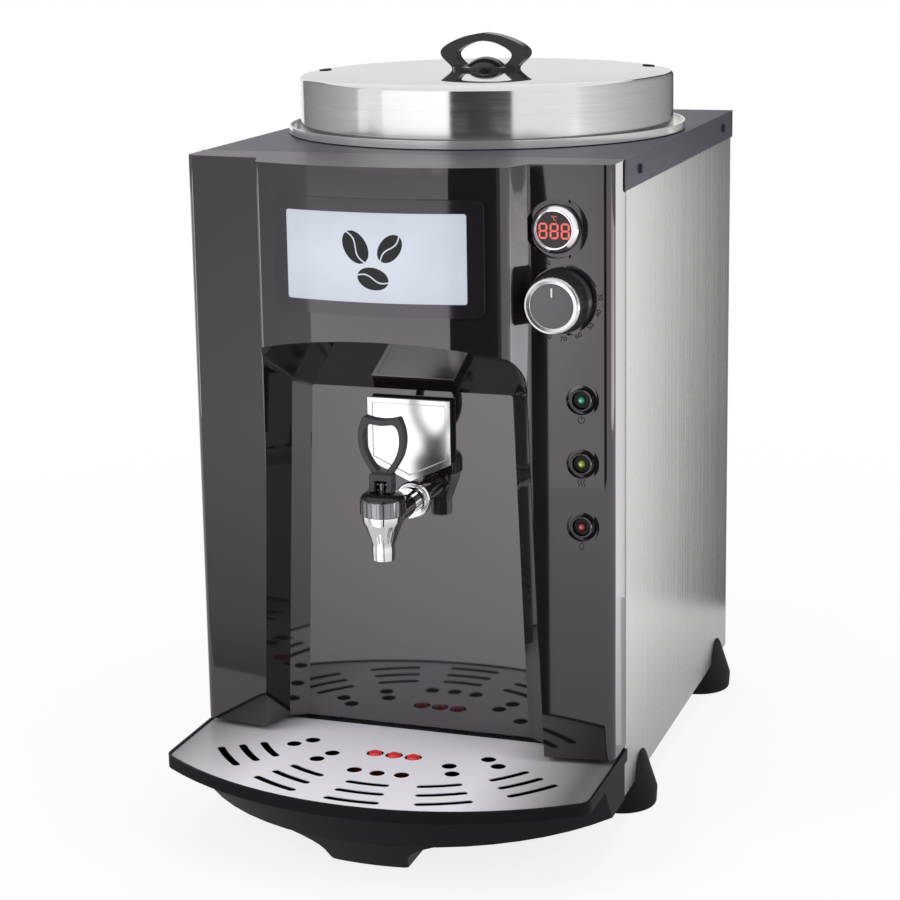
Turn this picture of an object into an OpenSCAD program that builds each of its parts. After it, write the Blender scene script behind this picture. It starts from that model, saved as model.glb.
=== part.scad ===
// Countertop coffee urn: a steel casing round a lidded water tank, a moulded front with
// a lit panel and controls, a self-closing tap in an alcove, and a drip tray.
// Millimetres. X to the right, Y to the back, Z up from the counter.

/* [Casing] */
// Width over the top cover and the front moulding
body_w = 330; // [318:1:360]
// Depth of the steel casing behind the front moulding
casing_d = 373; // [366:1:420]
// Height of the top cover above the counter
top_z = 513; // [500:1:560]
// Height of the casing's underside above the counter
base_z = 26; // [22:1:28]
// Thickness of the sheet steel
sheet = 1.2; // [0.8:0.1:1.6]
// Height of the lips round the top cover
lip_h = 23; // [15:1:35]
// Width of the flanges folded along the panels' edges
flange_w = 12; // [9:1:16]
// Gap between sheets that are folded together
sheet_gap = 0.2; // [0.1:0.05:0.4]
// Radius of the casing screws' shanks
screw_r = 2; // [1.5:0.1:2.4]
// Radius of the casing screws' heads
screw_head_r = 4; // [3.2:0.1:5]

/* [Feet] */
// Radius of a foot where it stands on the counter
foot_r = 28.5; // [26:0.5:32]
// Radius of a foot at its top
foot_top_r = 19.5; // [17:0.5:22]
// Height of a foot
foot_h = 45; // [38:1:55]
// Height of a foot's straight lower part
foot_band = 13; // [8:1:18]
// Distance from the middle of the casing to a foot's axis
foot_x = 147; // [140:1:150]
// Distance from the casing's front edge to the front feet's axes
foot_front = 52; // [40:1:70]
// Distance from the casing's rear edge to the rear feet's axes
foot_rear = 43; // [35:1:60]
// Radius of the bolts that hold the feet
foot_bolt_r = 3; // [2:0.1:4]

/* [Front moulding] */
// Depth of the moulding at its sides
mould_d = 37; // [32:1:45]
// Wall of the moulding
mould_wall = 3; // [2:0.1:4]
// Radius of the moulding's outer upright edges
mould_edge_r = 7; // [3.5:0.5:12]
// How far the pillars' faces come forward towards the middle
pillar_bow = 6; // [2:0.5:10]
// Distance from the middle to the inner edge of a pillar's face
pillar_x = 106; // [104:1:112]
// Half the width of the crowned middle of the front
crown_x = 94; // [92:1:98]
// How far the crowned middle stands out
crown_out = 46; // [40:1:52]
// Radius of the crown's curve
crown_r = 277.5; // [240:0.5:340]
// Radius of the moulding's fixing bosses
boss_r = 4.5; // [4:0.1:6]

/* [Alcove] */
// Distance of the alcove's back wall behind the pillars' outer edges
alcove_y = 30; // [26:1:32]
// Width of the alcove's back wall at its foot
alcove_w_foot = 202; // [190:1:210]
// Width of the alcove's back wall at its top
alcove_w_top = 181; // [170:1:188]
// Height of the alcove's back wall
alcove_h = 267.2; // [255:0.1:285]
// Angle that the side walls open out towards the front
alcove_flare = 18.4; // [12:0.1:21]
// Angle that the ceiling rises towards the front
ceiling_rise = 33.7; // [28:0.1:38]
// Width of the chamfer in the back corners
alcove_chamfer = 10.5; // [4:0.5:11]
// Rounding of the alcove's upper corners at the front
alcove_round = 18; // [8:1:24]

/* [Lit panel] */
// Width of the frame round the lit panel
frame_w = 160.5; // [150:0.5:172]
// Height of the frame round the lit panel
frame_h = 84.5; // [78:0.5:92]
// Radius of the frame's corners
frame_corner = 6.5; // [3:0.5:10]
// How far the frame stands proud
frame_t = 1.6; // [1.2:0.1:3]
// Width of the lit panel
lit_w = 137; // [125:0.5:142]
// Height of the lit panel
lit_h = 65; // [58:0.5:70]
// Thickness of the lit panel
lit_t = 1.2; // [0.8:0.1:1.2]
// Distance of the lit panel's middle below the top cover
lit_drop = 64.7; // [58:0.1:68]

/* [Controls] */
// Distance of the display's axis from the middle
display_x = 123.6; // [121:0.1:127]
// Distance of the display's axis below the top cover
display_drop = 46; // [40:0.5:48]
// Radius of the display's bezel
display_r = 18; // [16:0.5:19]
// Radius of the dark recess round the bezel
display_recess_r = 21.3; // [20:0.1:23]
// How far the bezel stands out of its recess
display_out = 8; // [6:0.5:10]
// Distance of the knob's axis from the middle
knob_x = 127.3; // [125:0.1:130]
// Distance of the knob's axis below the top cover
knob_drop = 97.5; // [94:0.5:100]
// Radius of the knob's skirt at the panel
knob_r = 23.5; // [22:0.1:24]
// Radius of the knob's bright ring
knob_ring_r = 20.3; // [18:0.1:21]
// How far the knob stands out from the panel
knob_out = 26.5; // [22:0.5:29]
// Radius of the thermostat's spindle
spindle_r = 3; // [2.5:0.1:4]
// Distance of the lamps' axes from the middle
lamp_x = 141.5; // [138:0.1:145]
// Distance of the first lamp below the top cover
lamp_drop = 170.2; // [160:0.1:180]
// Distance from lamp to lamp
lamp_pitch = 47.3; // [36:0.1:55]
// Radius of a lamp's bezel
lamp_r = 8.3; // [7:0.1:9]
// Radius of the recess round a lamp
lamp_recess_r = 11; // [10:0.1:12]

/* [Tank and lid] */
// Distance of the tank's axis behind the casing's front edge
tank_y = 187; // [185:0.5:188]
// Outer radius of the tank
tank_r = 136; // [125:0.5:138]
// Wall of the tank
tank_wall = 1.2; // [0.8:0.1:2]
// Outer radius of the dished rim round the tank's mouth
rim_r = 161; // [159:0.5:163]
// Height of the dished rim
rim_h = 6; // [4:0.5:9]
// Outer radius of the lid
lid_r = 151.5; // [145:0.5:155]
// Height of the lid above the top cover
lid_h = 46; // [38:0.5:56]
// How far the lid's middle rises over its shoulder
lid_rise = 2.5; // [1:0.1:5]
// Radius of the lid's rounded shoulder
lid_shoulder = 3.5; // [3:0.5:9]
// Thickness of the lid
lid_t = 1; // [0.8:0.1:1.5]
// Distance of the lid's two vent holes from its axis
vent_x = 135; // [115:1:137]
// Radius of a vent hole in the lid
vent_r = 4; // [2:0.1:5]
// Width of the lid's handle
grip_w = 74; // [66:1:84]
// Height of the lid's handle above the lid
grip_h = 29.3; // [26:0.1:36]
// Width of the handle's foot
grip_foot = 54; // [48:1:60]
// Depth of the lid's handle from front to back
grip_depth = 14; // [10:0.5:18]
// Thickness of the insulation round the tank
lagging = 13; // [6:0.5:15]
// Thickness of the band heater
heater_t = 3.5; // [2:0.5:5]
// Height of the band heater
heater_h = 30; // [20:1:40]

/* [Tap] */
// Distance of the tap's spout axis in front of the alcove's back wall
tap_reach = 66; // [62:1:80]
// Height of the tap's shank above the drip tray
tap_above = 185; // [175:1:190]
// Radius of the shank
shank_r = 9; // [8:0.1:10]
// Radius of the waterway through the shank
waterway_r = 5; // [3:0.1:5.5]
// Radius of the round cover plate at the wall
rosette_r = 14.3; // [13:0.1:15]
// Radius of the knurled bonnet
bonnet_r = 16.9; // [16.4:0.1:18]
// Radius of the spout's outer end
spout_r = 8.4; // [6.5:0.1:9]
// Radius of the spout's cone at its top
cone_r = 15.4; // [13.5:0.1:15.5]
// Radius of the spout's mouth
mouth_r = 5; // [3.5:0.1:5.3]
// Length of the spout below the shank's axis
spout_l = 28; // [26:0.5:34]
// Radius of the stem
stem_r = 3; // [2.5:0.1:3.2]
// Radius of the cross pin
pin_r = 1.5; // [1:0.1:1.6]
// Height that the stem lifts when the tap is fully open
lift = 2; // [1.5:0.1:2.4]
// Angle that the lever tilts to open the tap fully
lever_angle = 35; // [30:1:40]
// Width of the lever's loop
loop_w = 36.4; // [32:0.1:44]
// Height of the lever's loop
loop_h = 42.5; // [36:0.5:50]
// Depth of the lever's loop from front to back
loop_depth = 8; // [6:0.5:10]
// Width of the lever's fork
fork_w = 17.6; // [16:0.1:20]
// Width of the badge on the alcove's back wall
badge_w = 66; // [56:1:80]
// Gap between the badge's pointed foot and the tap's cover plate
badge_gap = 1.4; // [1:0.1:6]
// Gap between the badge and the alcove's ceiling
badge_top_gap = 5.8; // [3:0.1:12]

/* [Drip tray] */
// Height of the tray's rim above the counter
tray_z = 65.5; // [62:0.5:66]
// Gap between the tray's rim and the moulding
tray_gap = 3.3; // [2:0.1:5]
// Half the width of the tray
tray_x = 166.2; // [160:0.1:170]
// How far the tray comes forward
tray_out = 128.7; // [120:0.1:140]
// Radius of the tray's front edge
tray_r = 275; // [240:1:330]
// Radius of the tray's front corners
tray_corner = 14; // [8:1:20]
// Height of the tray's rim band
rim_band = 9.5; // [7:0.5:12]
// Height of the tray's floor above the counter
tray_floor_z = 28; // [26:0.5:30]
// How far the tray's floor comes forward
floor_out = 106; // [98:0.5:110]
// Radius of the floor's front edge
floor_r = 190.5; // [184:0.5:210]
// Wall of the tray
tray_wall = 2.2; // [1.6:0.1:2.6]
// Width of the leg under the tray's front
leg_w = 62; // [50:1:72]
// Thickness of the grille
grille_t = 0.8; // [0.8:0.1:1.5]
// Width of the grille's slots
slot_w = 6.2; // [3:0.1:7]
// Radius of the grille's round holes
hole_r = 5.8; // [3.5:0.1:6.2]
// Radius of the three holes over the float
float_hole_r = 6.8; // [5.6:0.1:7.2]
// How far the float can rise
float_lift = 5; // [3:0.5:5]
// Width of the tray's two rear tongues
tongue_w = 24; // [16:1:32]
// Distance of the tongues from the middle
tongue_x = 90; // [70:1:110]
// Length of the tongues
tongue_l = 26; // [18:1:34]

/* [Hidden] */
$fn = 64;

// Clearances
fit = 0.3;            // between parts that pass each other
running = 0.05;       // radial, pin in its bearing
eps = 0.02;           // overlap that keeps cuts clean

// Places measured from the front, before the whole urn is centred
half_w = body_w / 2;
joint_gap = 1;                                   // between moulding and casing
case_y0 = mould_d + joint_gap;                   // casing's front edge
case_y1 = case_y0 + casing_d;                    // casing's rear edge
panel_x = half_w - sheet - sheet_gap;            // outside of the side panels
panel_top = top_z - sheet - sheet_gap;
back_y = case_y1 - sheet - sheet_gap;            // outside of the back panel
sheet_y = case_y0 + sheet + sheet_gap;           // front of the inner front sheet
tank_cy = case_y0 + tank_y;
gland_out = 16;                                  // the cable gland's length outside
rear_most = back_y + gland_out;
y_mid = (rear_most - tray_out) / 2;

// Heights
mould_z0 = tray_z + tray_gap;
tap_z = tray_z + tap_above;
tank_z0 = tap_z - 14.5;
lit_z = top_z - lit_drop;
display_z = top_z - display_drop;
knob_z = top_z - knob_drop;
lamp_zs = [for (i = [0 : 2]) top_z - lamp_drop - i * lamp_pitch];
face_slope = pillar_bow / (half_w - mould_edge_r - pillar_x);

module placed() { translate([0, -y_mid, 0]) children(); }
module mirror_x() { children(); mirror([1, 0, 0]) children(); }
module rod_y(r, y0, y1) { translate([0, y0, 0]) rotate([-90, 0, 0]) cylinder(r = r, h = y1 - y0); }
module block(lo, hi) { translate(lo) cube(hi - lo); }
function arc(cx, cy, r, a0, a1, n) =
    [for (i = [0 : n]) let (a = a0 + (a1 - a0) * i / n) [cx + r * cos(a), cy + r * sin(a)]];
function flip_x(pts) = [for (i = [len(pts) - 1 : -1 : 0]) [-pts[i].x, pts[i].y]];

// ---- Casing -------------------------------------------------------------------------

foot_ys = [case_y0 + foot_front, case_y1 - foot_rear];
module at_feet() {
    for (sx = [-1, 1], y = foot_ys) translate([sx * foot_x, y, 0]) children();
}

// Places of the screws that hold the casing together, on the right-hand side and the back
lip_screw_ys = [case_y0 + 39, case_y1 - 41];
lip_screw_z = top_z - lip_h / 2;
back_screw_xs = [panel_x - sheet - flange_w / 2];
back_screw_zs = [base_z + 60, (base_z + top_z) / 2, top_z - lip_h - 30];

base_lip = 17;                                   // height of the lip round the base plate
board_w = 82;                                    // control board
board_l = 62;
board_t = 1.6;
board_x = -126;
board_y = case_y1 - 80;
board_post = 10;
relay_h = 18;
lamp_l = 22;                                     // a lamp's body behind the face
tag_l = 6;                                       // its two tags
screw_l = 12;                                    // moulding screws
gland_x = 100;
gland_z = base_z + 40;
gland_r = 9;
cord_hole_r = 4.6;

module base_plate() {
    x = panel_x - sheet - sheet_gap;
    y0 = sheet_y + sheet + sheet_gap;
    y1 = back_y - sheet - sheet_gap - sheet;
    color([0.62, 0.62, 0.63]) difference() {
        block([-x, y0, base_z], [x, y1, base_z + base_lip]);
        block([-x + sheet, y0 + sheet, base_z + sheet], [x - sheet, y1 - sheet, base_z + base_lip + 1]);
        at_feet() cylinder(r = foot_bolt_r + fit, h = base_z + 10);
        for (i = [-4 : 4])
            block([i * 18 - 3, tank_cy - 60, base_z - 1], [i * 18 + 3, tank_cy + 60, base_z + 3]);
    }
}

// A side panel is one sheet with its front and rear edges folded inwards.
module side_panel() {
    x1 = panel_x;
    x0 = panel_x - sheet;
    y1 = back_y - sheet - sheet_gap;
    difference() {
        translate([0, 0, base_z]) linear_extrude(panel_top - base_z) polygon([
            [x1, case_y0], [x1, y1], [x0 - flange_w, y1], [x0 - flange_w, y1 - sheet],
            [x0, y1 - sheet], [x0, case_y0 + sheet], [x0 - flange_w, case_y0 + sheet],
            [x0 - flange_w, case_y0]]);
        for (y = lip_screw_ys)
            translate([x0 - 1, y, lip_screw_z]) rotate([0, 90, 0])
                cylinder(r = screw_r + fit, h = sheet + 2);
        for (x = back_screw_xs, z = back_screw_zs)
            translate([x, 0, z]) rod_y(screw_r + fit, back_y - 8, back_y);
    }
}
module right_side_panel() { color([0.66, 0.67, 0.67]) side_panel(); }
module left_side_panel() { color([0.66, 0.67, 0.67]) mirror([1, 0, 0]) side_panel(); }

module back_panel() {
    louvre_w = 90;
    louvre_n = 9;
    color([0.6, 0.6, 0.61]) difference() {
        block([-panel_x, back_y - sheet, base_z], [panel_x, back_y, panel_top]);
        for (sx = [-1, 1], i = [0 : louvre_n - 1])
            block([sx * 70 - louvre_w / 2, back_y - sheet - 1, base_z + 90 + i * 12],
                  [sx * 70 + louvre_w / 2, back_y + 1, base_z + 94 + i * 12]);
        mirror_x() for (x = back_screw_xs, z = back_screw_zs)
            translate([x, 0, z]) rod_y(screw_r + fit, back_y - 4, back_y + 4);
        translate([gland_x, 0, gland_z]) rod_y(gland_r + fit, back_y - 4, back_y + 4);
        translate([0, back_y + 1, top_z - lip_h / 2]) rotate([90, 0, 0])
            cylinder(r = screw_r + fit, h = 4);
    }
}

// The inner front sheet carries the moulding, the tap and the drip tray's guides.
mould_screws = [for (sx = [-1, 1], z = [mould_z0 + 22, lamp_zs[2] - 50, top_z - 18])
    [sx * (half_w - 22), z]];
tongue_z = tray_floor_z + 20;
tongue_t = 5;

module front_sheet() {
    x = panel_x - sheet - sheet_gap;
    color([0.6, 0.6, 0.61]) difference() {
        block([-x, sheet_y, base_z], [x, sheet_y + sheet, panel_top]);
        for (p = mould_screws) translate([p.x, 0, p.y]) rod_y(screw_r + fit, sheet_y - 2, sheet_y + 4);
        translate([0, 0, tap_z]) rod_y(shank_r + fit, sheet_y - 2, sheet_y + 4);
        mirror_x() block([tongue_x - tongue_w / 2 - fit, sheet_y - 2, tongue_z - fit],
                         [tongue_x + tongue_w / 2 + fit, sheet_y + 4, tongue_z + tongue_t + fit]);
        block([knob_x - 30, sheet_y - 2, knob_z - 60], [knob_x - 10, sheet_y + 4, knob_z - 40]);
        mirror_x() block([x - 22, sheet_y - 2, base_z - 1], [x + 1, sheet_y + 4, base_z + 22]);
    }
}

module top_cover() {
    color([0.33, 0.32, 0.36]) difference() {
        block([-half_w, case_y0, top_z - lip_h], [half_w, case_y1, top_z]);
        block([-half_w + sheet, case_y0 - 1, top_z - lip_h - 1],
              [half_w - sheet, case_y1 - sheet, top_z - sheet]);
        translate([0, tank_cy, top_z - lip_h - 1]) cylinder(r = tank_r + 2, h = lip_h + 2, $fn = 96);
        for (y = lip_screw_ys)
            translate([-half_w - 1, y, lip_screw_z]) rotate([0, 90, 0])
                cylinder(r = screw_r + fit, h = body_w + 2);
        translate([0, case_y1 + 1, top_z - lip_h / 2]) rotate([90, 0, 0])
            cylinder(r = screw_r + fit, h = 4);
    }
}

// A pan-head screw that points along -Z, with its head's underside at the origin.
module screw(len) {
    translate([0, 0, -len]) cylinder(r = screw_r, h = len);
    difference() {
        cylinder(r1 = screw_head_r, r2 = screw_head_r - 1, h = 2);
        translate([-screw_head_r, -0.4, 1.2]) cube([2 * screw_head_r, 0.8, 2]);
    }
}

module casing_screws() {
    color([0.08, 0.08, 0.08]) {
        mirror_x() for (y = lip_screw_ys)
            translate([half_w, y, lip_screw_z]) rotate([0, 90, 0]) screw(7);
        mirror_x() for (x = back_screw_xs, z = back_screw_zs)
            translate([x, back_y, z]) rotate([-90, 0, 0]) screw(6);
        translate([0, case_y1, top_z - lip_h / 2]) rotate([-90, 0, 0]) screw(6);
    }
}

// A foot is a rubber cone. Its inner part ends under the base; its outer part climbs the panel.
module feet() {
    cut_x = panel_x + fit;
    color([0.07, 0.07, 0.07]) difference() {
        at_feet() rotate_extrude($fn = 64) polygon([
            [0, 0], [foot_r - 2, 0], [foot_r - 0.6, 0.6], [foot_r, 2], [foot_r + 0.6, foot_band],
            [foot_top_r + 1, foot_h - 5], [foot_top_r - 1, foot_h - 1.8], [foot_top_r - 3.5, foot_h],
            [0, foot_h]]);
        block([-cut_x, 0, base_z], [cut_x, case_y1, foot_h + 1]);
        at_feet() {
            cylinder(r = foot_bolt_r + fit, h = base_z + 1);
            translate([0, 0, -1]) cylinder(r = 2.4 * foot_bolt_r + fit, h = 9);
        }
    }
}

module foot_bolts() {
    color([0.55, 0.55, 0.56]) at_feet() {
        translate([0, 0, 5]) cylinder(r = 2.2 * foot_bolt_r, h = 3);
        translate([0, 0, 8]) cylinder(r = foot_bolt_r, h = base_z + sheet + 8 - 8);
        translate([0, 0, base_z + sheet]) difference() {
            cylinder(r = 2 * foot_bolt_r, h = 4.5, $fn = 6);
            translate([0, 0, -1]) cylinder(r = foot_bolt_r, h = 7);
        }
    }
}

// ---- Front moulding -----------------------------------------------------------------

crown_cy = crown_r - crown_out;
// Outline of the moulding seen from above, drawn in by i from its outer surface.
function crown_y(x, i) = crown_cy - sqrt(pow(crown_r - i, 2) - x * x);
function face_y(x) = -face_slope * (half_w - mould_edge_r - x);
function s_curve(i) = let (x0 = pillar_x - i, x1 = crown_x - i,
        y0 = face_y(pillar_x) + i, y1 = crown_y(crown_x - i, i), n = 8)
    [for (k = [0 : n]) let (t = k / n, s = t * t * (3 - 2 * t)) [x0 + (x1 - x0) * t, y0 + (y1 - y0) * s]];
function crown(i) = let (a = asin((crown_x - i) / (crown_r - i)), n = 22)
    [for (k = [1 : n - 1]) let (t = a - 2 * a * k / n)
        [(crown_r - i) * sin(t), crown_cy - (crown_r - i) * cos(t)]];
function mould_plan(i, back) = let (
        r = mould_edge_r - i,
        side = concat([[half_w - i, back]], arc(half_w - mould_edge_r, mould_edge_r, r, 0, -90, 6),
                      s_curve(i)))
    concat(side, crown(i), flip_x(side));

// The space of the alcove: it opens out forwards, and its ceiling rises.
function alcove_plan_x(y, z) = alcove_w_foot / 2 + (alcove_y - y) * tan(alcove_flare)
    - (z - mould_z0) * (alcove_w_foot - alcove_w_top) / 2 / alcove_h;
function ceiling_z(y) = mould_z0 + alcove_h + (alcove_y - y) * tan(ceiling_rise);
module alcove_slab(y, inset, grow, low, r) {
    zt = ceiling_z(y) + grow / cos(ceiling_rise);
    x0 = alcove_plan_x(y, low) - inset + grow / cos(alcove_flare);
    x1 = alcove_plan_x(y, zt - r) - inset + grow / cos(alcove_flare);
    corner = arc(x1 - r, zt - r, r, 0, 90, 6);
    translate([0, y, 0]) rotate([90, 0, 0]) linear_extrude(eps)
        polygon(concat([[-x0, low], [x0, low]], corner, flip_x(corner)));
}
module alcove_space(grow, low, front) {
    hull() {
        alcove_slab(-front, 0, grow, low, alcove_round + grow);
        alcove_slab(alcove_y - alcove_chamfer * 0.8 + grow, 0, grow, low, 3 + grow);
        alcove_slab(alcove_y + grow, alcove_chamfer, grow, low, 2 + grow);
    }
}

window_in = 4;        // how far the lit panel overlaps the opening behind it
knob_seat = face_y(knob_x + 12);                 // floor of the shallow seat round the knob
knob_y = knob_seat - 0.5;                        // plane of the knob's rear edge
module at_knob() { translate([knob_x, 0, knob_z]) children(); }
module at_lamps() { for (z = lamp_zs) translate([lamp_x, face_y(lamp_x), z]) children(); }

module front_moulding() {
    color([0.29, 0.28, 0.31]) difference() {
        union() {
            difference() {
                translate([0, 0, mould_z0]) linear_extrude(top_z - mould_z0)
                    polygon(mould_plan(0, mould_d));
                translate([0, 0, mould_z0 + mould_wall]) linear_extrude(top_z - mould_z0 - 2 * mould_wall)
                    polygon(mould_plan(mould_wall, mould_d + 1));
            }
            intersection() {
                alcove_space(mould_wall, mould_z0 - 10, crown_out + 10);
                translate([0, 0, mould_z0]) linear_extrude(top_z - mould_z0 - 1)
                    polygon(mould_plan(1, alcove_y + mould_wall + eps));
            }
            // bosses that meet the inner front sheet
            for (p = mould_screws) translate([p.x, 0, p.y])
                rod_y(boss_r, face_y(abs(p.x)) + 1, sheet_y);
            translate([0, 0, tap_z]) rod_y(shank_r + 6, alcove_y + 1, sheet_y);
            // bosses that carry the light board
            mirror_x() for (sz = [-1, 1])
                translate([lit_w / 2 + 2, 0, lit_z + sz * (lit_h / 2 - 6)])
                    rod_y(3, crown_y(lit_w / 2 + 2, 1), crown_y(lit_w / 2 + 2, 0) + 13);
            // pads behind the control recesses
            translate([display_x, 0, display_z])
                rod_y(display_recess_r + 2, face_y(display_x) + 1, face_y(display_x) + 6);
            at_knob() rod_y(knob_r + 2.5, knob_seat - 1, thermo_y - 0.1);
            at_lamps() rod_y(lamp_recess_r + 2, 1, 6);
        }
        alcove_space(0, mould_z0 - 12, crown_out + 12);
        for (p = mould_screws) translate([p.x, 0, p.y]) rod_y(screw_r - 0.3, sheet_y - 14, sheet_y + 1);
        translate([0, 0, tap_z]) rod_y(shank_r + fit, alcove_y - 2, sheet_y + 1);
        block([-lit_w / 2 + window_in, -crown_out - 2, lit_z - lit_h / 2 + window_in],
              [lit_w / 2 - window_in, -crown_out + 24, lit_z + lit_h / 2 - window_in]);
        translate([display_x, 0, display_z]) {
            rod_y(display_recess_r, face_y(display_x) - 4, face_y(display_x) + 2.5);
            rod_y(display_r - 2 + fit, face_y(display_x) - 4, face_y(display_x) + 12);
        }
        at_knob() {
            rod_y(knob_r + 0.8, -crown_out, knob_seat);
            rod_y(spindle_r + 1, knob_seat - 1, thermo_y + 1);
        }
        at_lamps() {
            rod_y(lamp_recess_r, -4, 2);
            rod_y(lamp_r - 2 + fit, -4, 12);
        }
    }
}

module moulding_screws() {
    color([0.5, 0.5, 0.52]) for (p = mould_screws)
        translate([p.x, sheet_y + sheet, p.y]) rotate([-90, 0, 0]) {
            translate([0, 0, -screw_l]) cylinder(r = screw_r - 0.35, h = screw_l);
            cylinder(r = screw_head_r, h = 2.4);
        }
}

// A plate that lies on the crown: w by h, with rounded corners, from radius r0 to r1.
module crown_plate(w, h, corner, r0, r1) {
    intersection() {
        translate([0, crown_cy, lit_z - h]) difference() {
            cylinder(r = crown_r + r1, h = 2 * h, $fn = 180);
            translate([0, 0, -1]) cylinder(r = crown_r + r0, h = 2 * h + 2, $fn = 180);
        }
        translate([0, 0, lit_z]) rotate([90, 0, 0]) linear_extrude(crown_out + 10)
            rounded_rect(w, h, corner);
    }
}
module rounded_rect(w, h, r) {
    polygon(concat(arc(w / 2 - r, h / 2 - r, r, 0, 90, 6), arc(-w / 2 + r, h / 2 - r, r, 90, 180, 6),
                   arc(-w / 2 + r, -h / 2 + r, r, 180, 270, 6),
                    arc(w / 2 - r, -h / 2 + r, r, 270, 360, 6)));
}

seat = 0.1;           // the glue line under the panel frame and the lit panel
module panel_frame() {
    color([0.25, 0.24, 0.27]) difference() {
        crown_plate(frame_w, frame_h, frame_corner, seat, seat + frame_t);
        translate([0, 0, lit_z]) rotate([90, 0, 0]) linear_extrude(crown_out + 12)
            rounded_rect(lit_w + 2 * seat, lit_h + 2 * seat, 2);
    }
}
module lit_panel() { color([0.9, 0.94, 1]) crown_plate(lit_w, lit_h, 2, seat, seat + lit_t); }

module light_board() {
    y0 = crown_y(lit_w / 2 + 2, 0) + 13;
    color([0.1, 0.35, 0.15]) {
        block([-lit_w / 2 - 5, y0, lit_z - lit_h / 2 + 2], [lit_w / 2 + 5, y0 + 1.6, lit_z + lit_h / 2 - 2]);
        for (x = [-54 : 18 : 54], sz = [-1, 1])
            block([x - 2.5, y0 - 1.2, lit_z + sz * 14 - 2.5], [x + 2.5, y0, lit_z + sz * 14 + 2.5]);
    }
}

// The badge is a bare shield: straight sides and a pointed foot.
module shield(w, h, tip) { polygon([[-w / 2, 0], [0, -tip], [w / 2, 0], [w / 2, h], [-w / 2, h]]); }
badge_tip = 15;
badge_z = tap_z + rosette_r + badge_gap + badge_tip;   // foot of the badge's straight sides
badge_h = mould_z0 + alcove_h - badge_top_gap - badge_z;
badge_back_t = 5;
badge_t = 2.2;
module badge_backing() {
    color([0.05, 0.05, 0.05]) translate([0, alcove_y, badge_z]) rotate([90, 0, 0])
        linear_extrude(badge_back_t) shield(badge_w - 1, badge_h - 1, badge_tip);
}
module badge_plate() {
    color([0.85, 0.85, 0.87]) translate([0, alcove_y - badge_back_t, badge_z]) rotate([90, 0, 0])
        difference() {
            linear_extrude(badge_t) shield(badge_w, badge_h, badge_tip);
            translate([0, 3.5, badge_t - 0.8]) linear_extrude(2)
                shield(badge_w - 8, badge_h - 7.5, badge_tip - 1.8);
        }
}

// ---- Controls -----------------------------------------------------------------------

display_y = face_y(display_x) + 2.5;             // floor of the display's recess
module at_display() { translate([display_x, display_y, display_z]) children(); }
module display_bezel() {
    color([0.88, 0.88, 0.9]) at_display() rotate([90, 0, 0]) rotate_extrude($fn = 64) polygon([
        [display_r - 2, 0], [display_r, 0], [display_r, display_out - 5],
        [display_r - 0.8, display_out - 2.8], [display_r - 2.2, display_out - 1],
        [display_r - 3.8, display_out], [display_r - 4.8, display_out - 0.2],
        [display_r - 5.2, display_out - 0.8], [display_r - 5.2, display_out - 1.6],
        [display_r - 2, display_out - 1.6]]);
}
module display_case() {
    color([0.06, 0.06, 0.07]) at_display() {
        rod_y(display_r - 2 - fit / 2, -display_out + 3.8, 16);
        rod_y(display_r + 3, 3.6, 6.6);
        block([-11, 16, -9], [11, 24, 9]);
    }
}
module display_window() {
    color([0.12, 0.11, 0.12]) at_display() intersection() {
        rod_y(display_r - 2 - fit / 2, -display_out + 1.8, -display_out + 3.8);
        block([-15, -display_out, -20], [15, 0, 20]);
    }
}

module lamp_bezels() {
    color([0.8, 0.8, 0.82]) at_lamps() rotate([90, 0, 0]) rotate_extrude($fn = 48) polygon([
        [lamp_r - 2, -2], [lamp_r, -2], [lamp_r, 1], [lamp_r - 0.8, 2], [lamp_r - 1.6, 1.6],
        [lamp_r - 2, -0.2]]);
}
module lamp_bodies() {
    color([0.05, 0.05, 0.05]) at_lamps() {
        difference() {
            rod_y(lamp_r - 2 - fit / 2, 1, lamp_l);
            rod_y(3.1, 0, 6);
        }
        rod_y(lamp_r + 2, 6, 9);
        for (sx = [-1, 1]) block([sx * 2.5 - 0.4, lamp_l, -1.5], [sx * 2.5 + 0.4, lamp_l + tag_l, 1.5]);
    }
}
module lamp_lens(i) {
    translate([lamp_x, face_y(lamp_x), lamp_zs[i]]) rotate([90, 0, 0]) rotate_extrude($fn = 32)
        polygon(concat([[0, -6], [3, -6], [3, -1]], arc(0, -1, 3, 0, 90, 6)));
}
module lamp_lens_green() { color([0.35, 0.85, 0.7]) lamp_lens(0); }
module lamp_lens_amber() { color([0.8, 0.85, 0.2]) lamp_lens(1); }
module lamp_lens_red() { color([0.75, 0.1, 0.12]) lamp_lens(2); }

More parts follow.
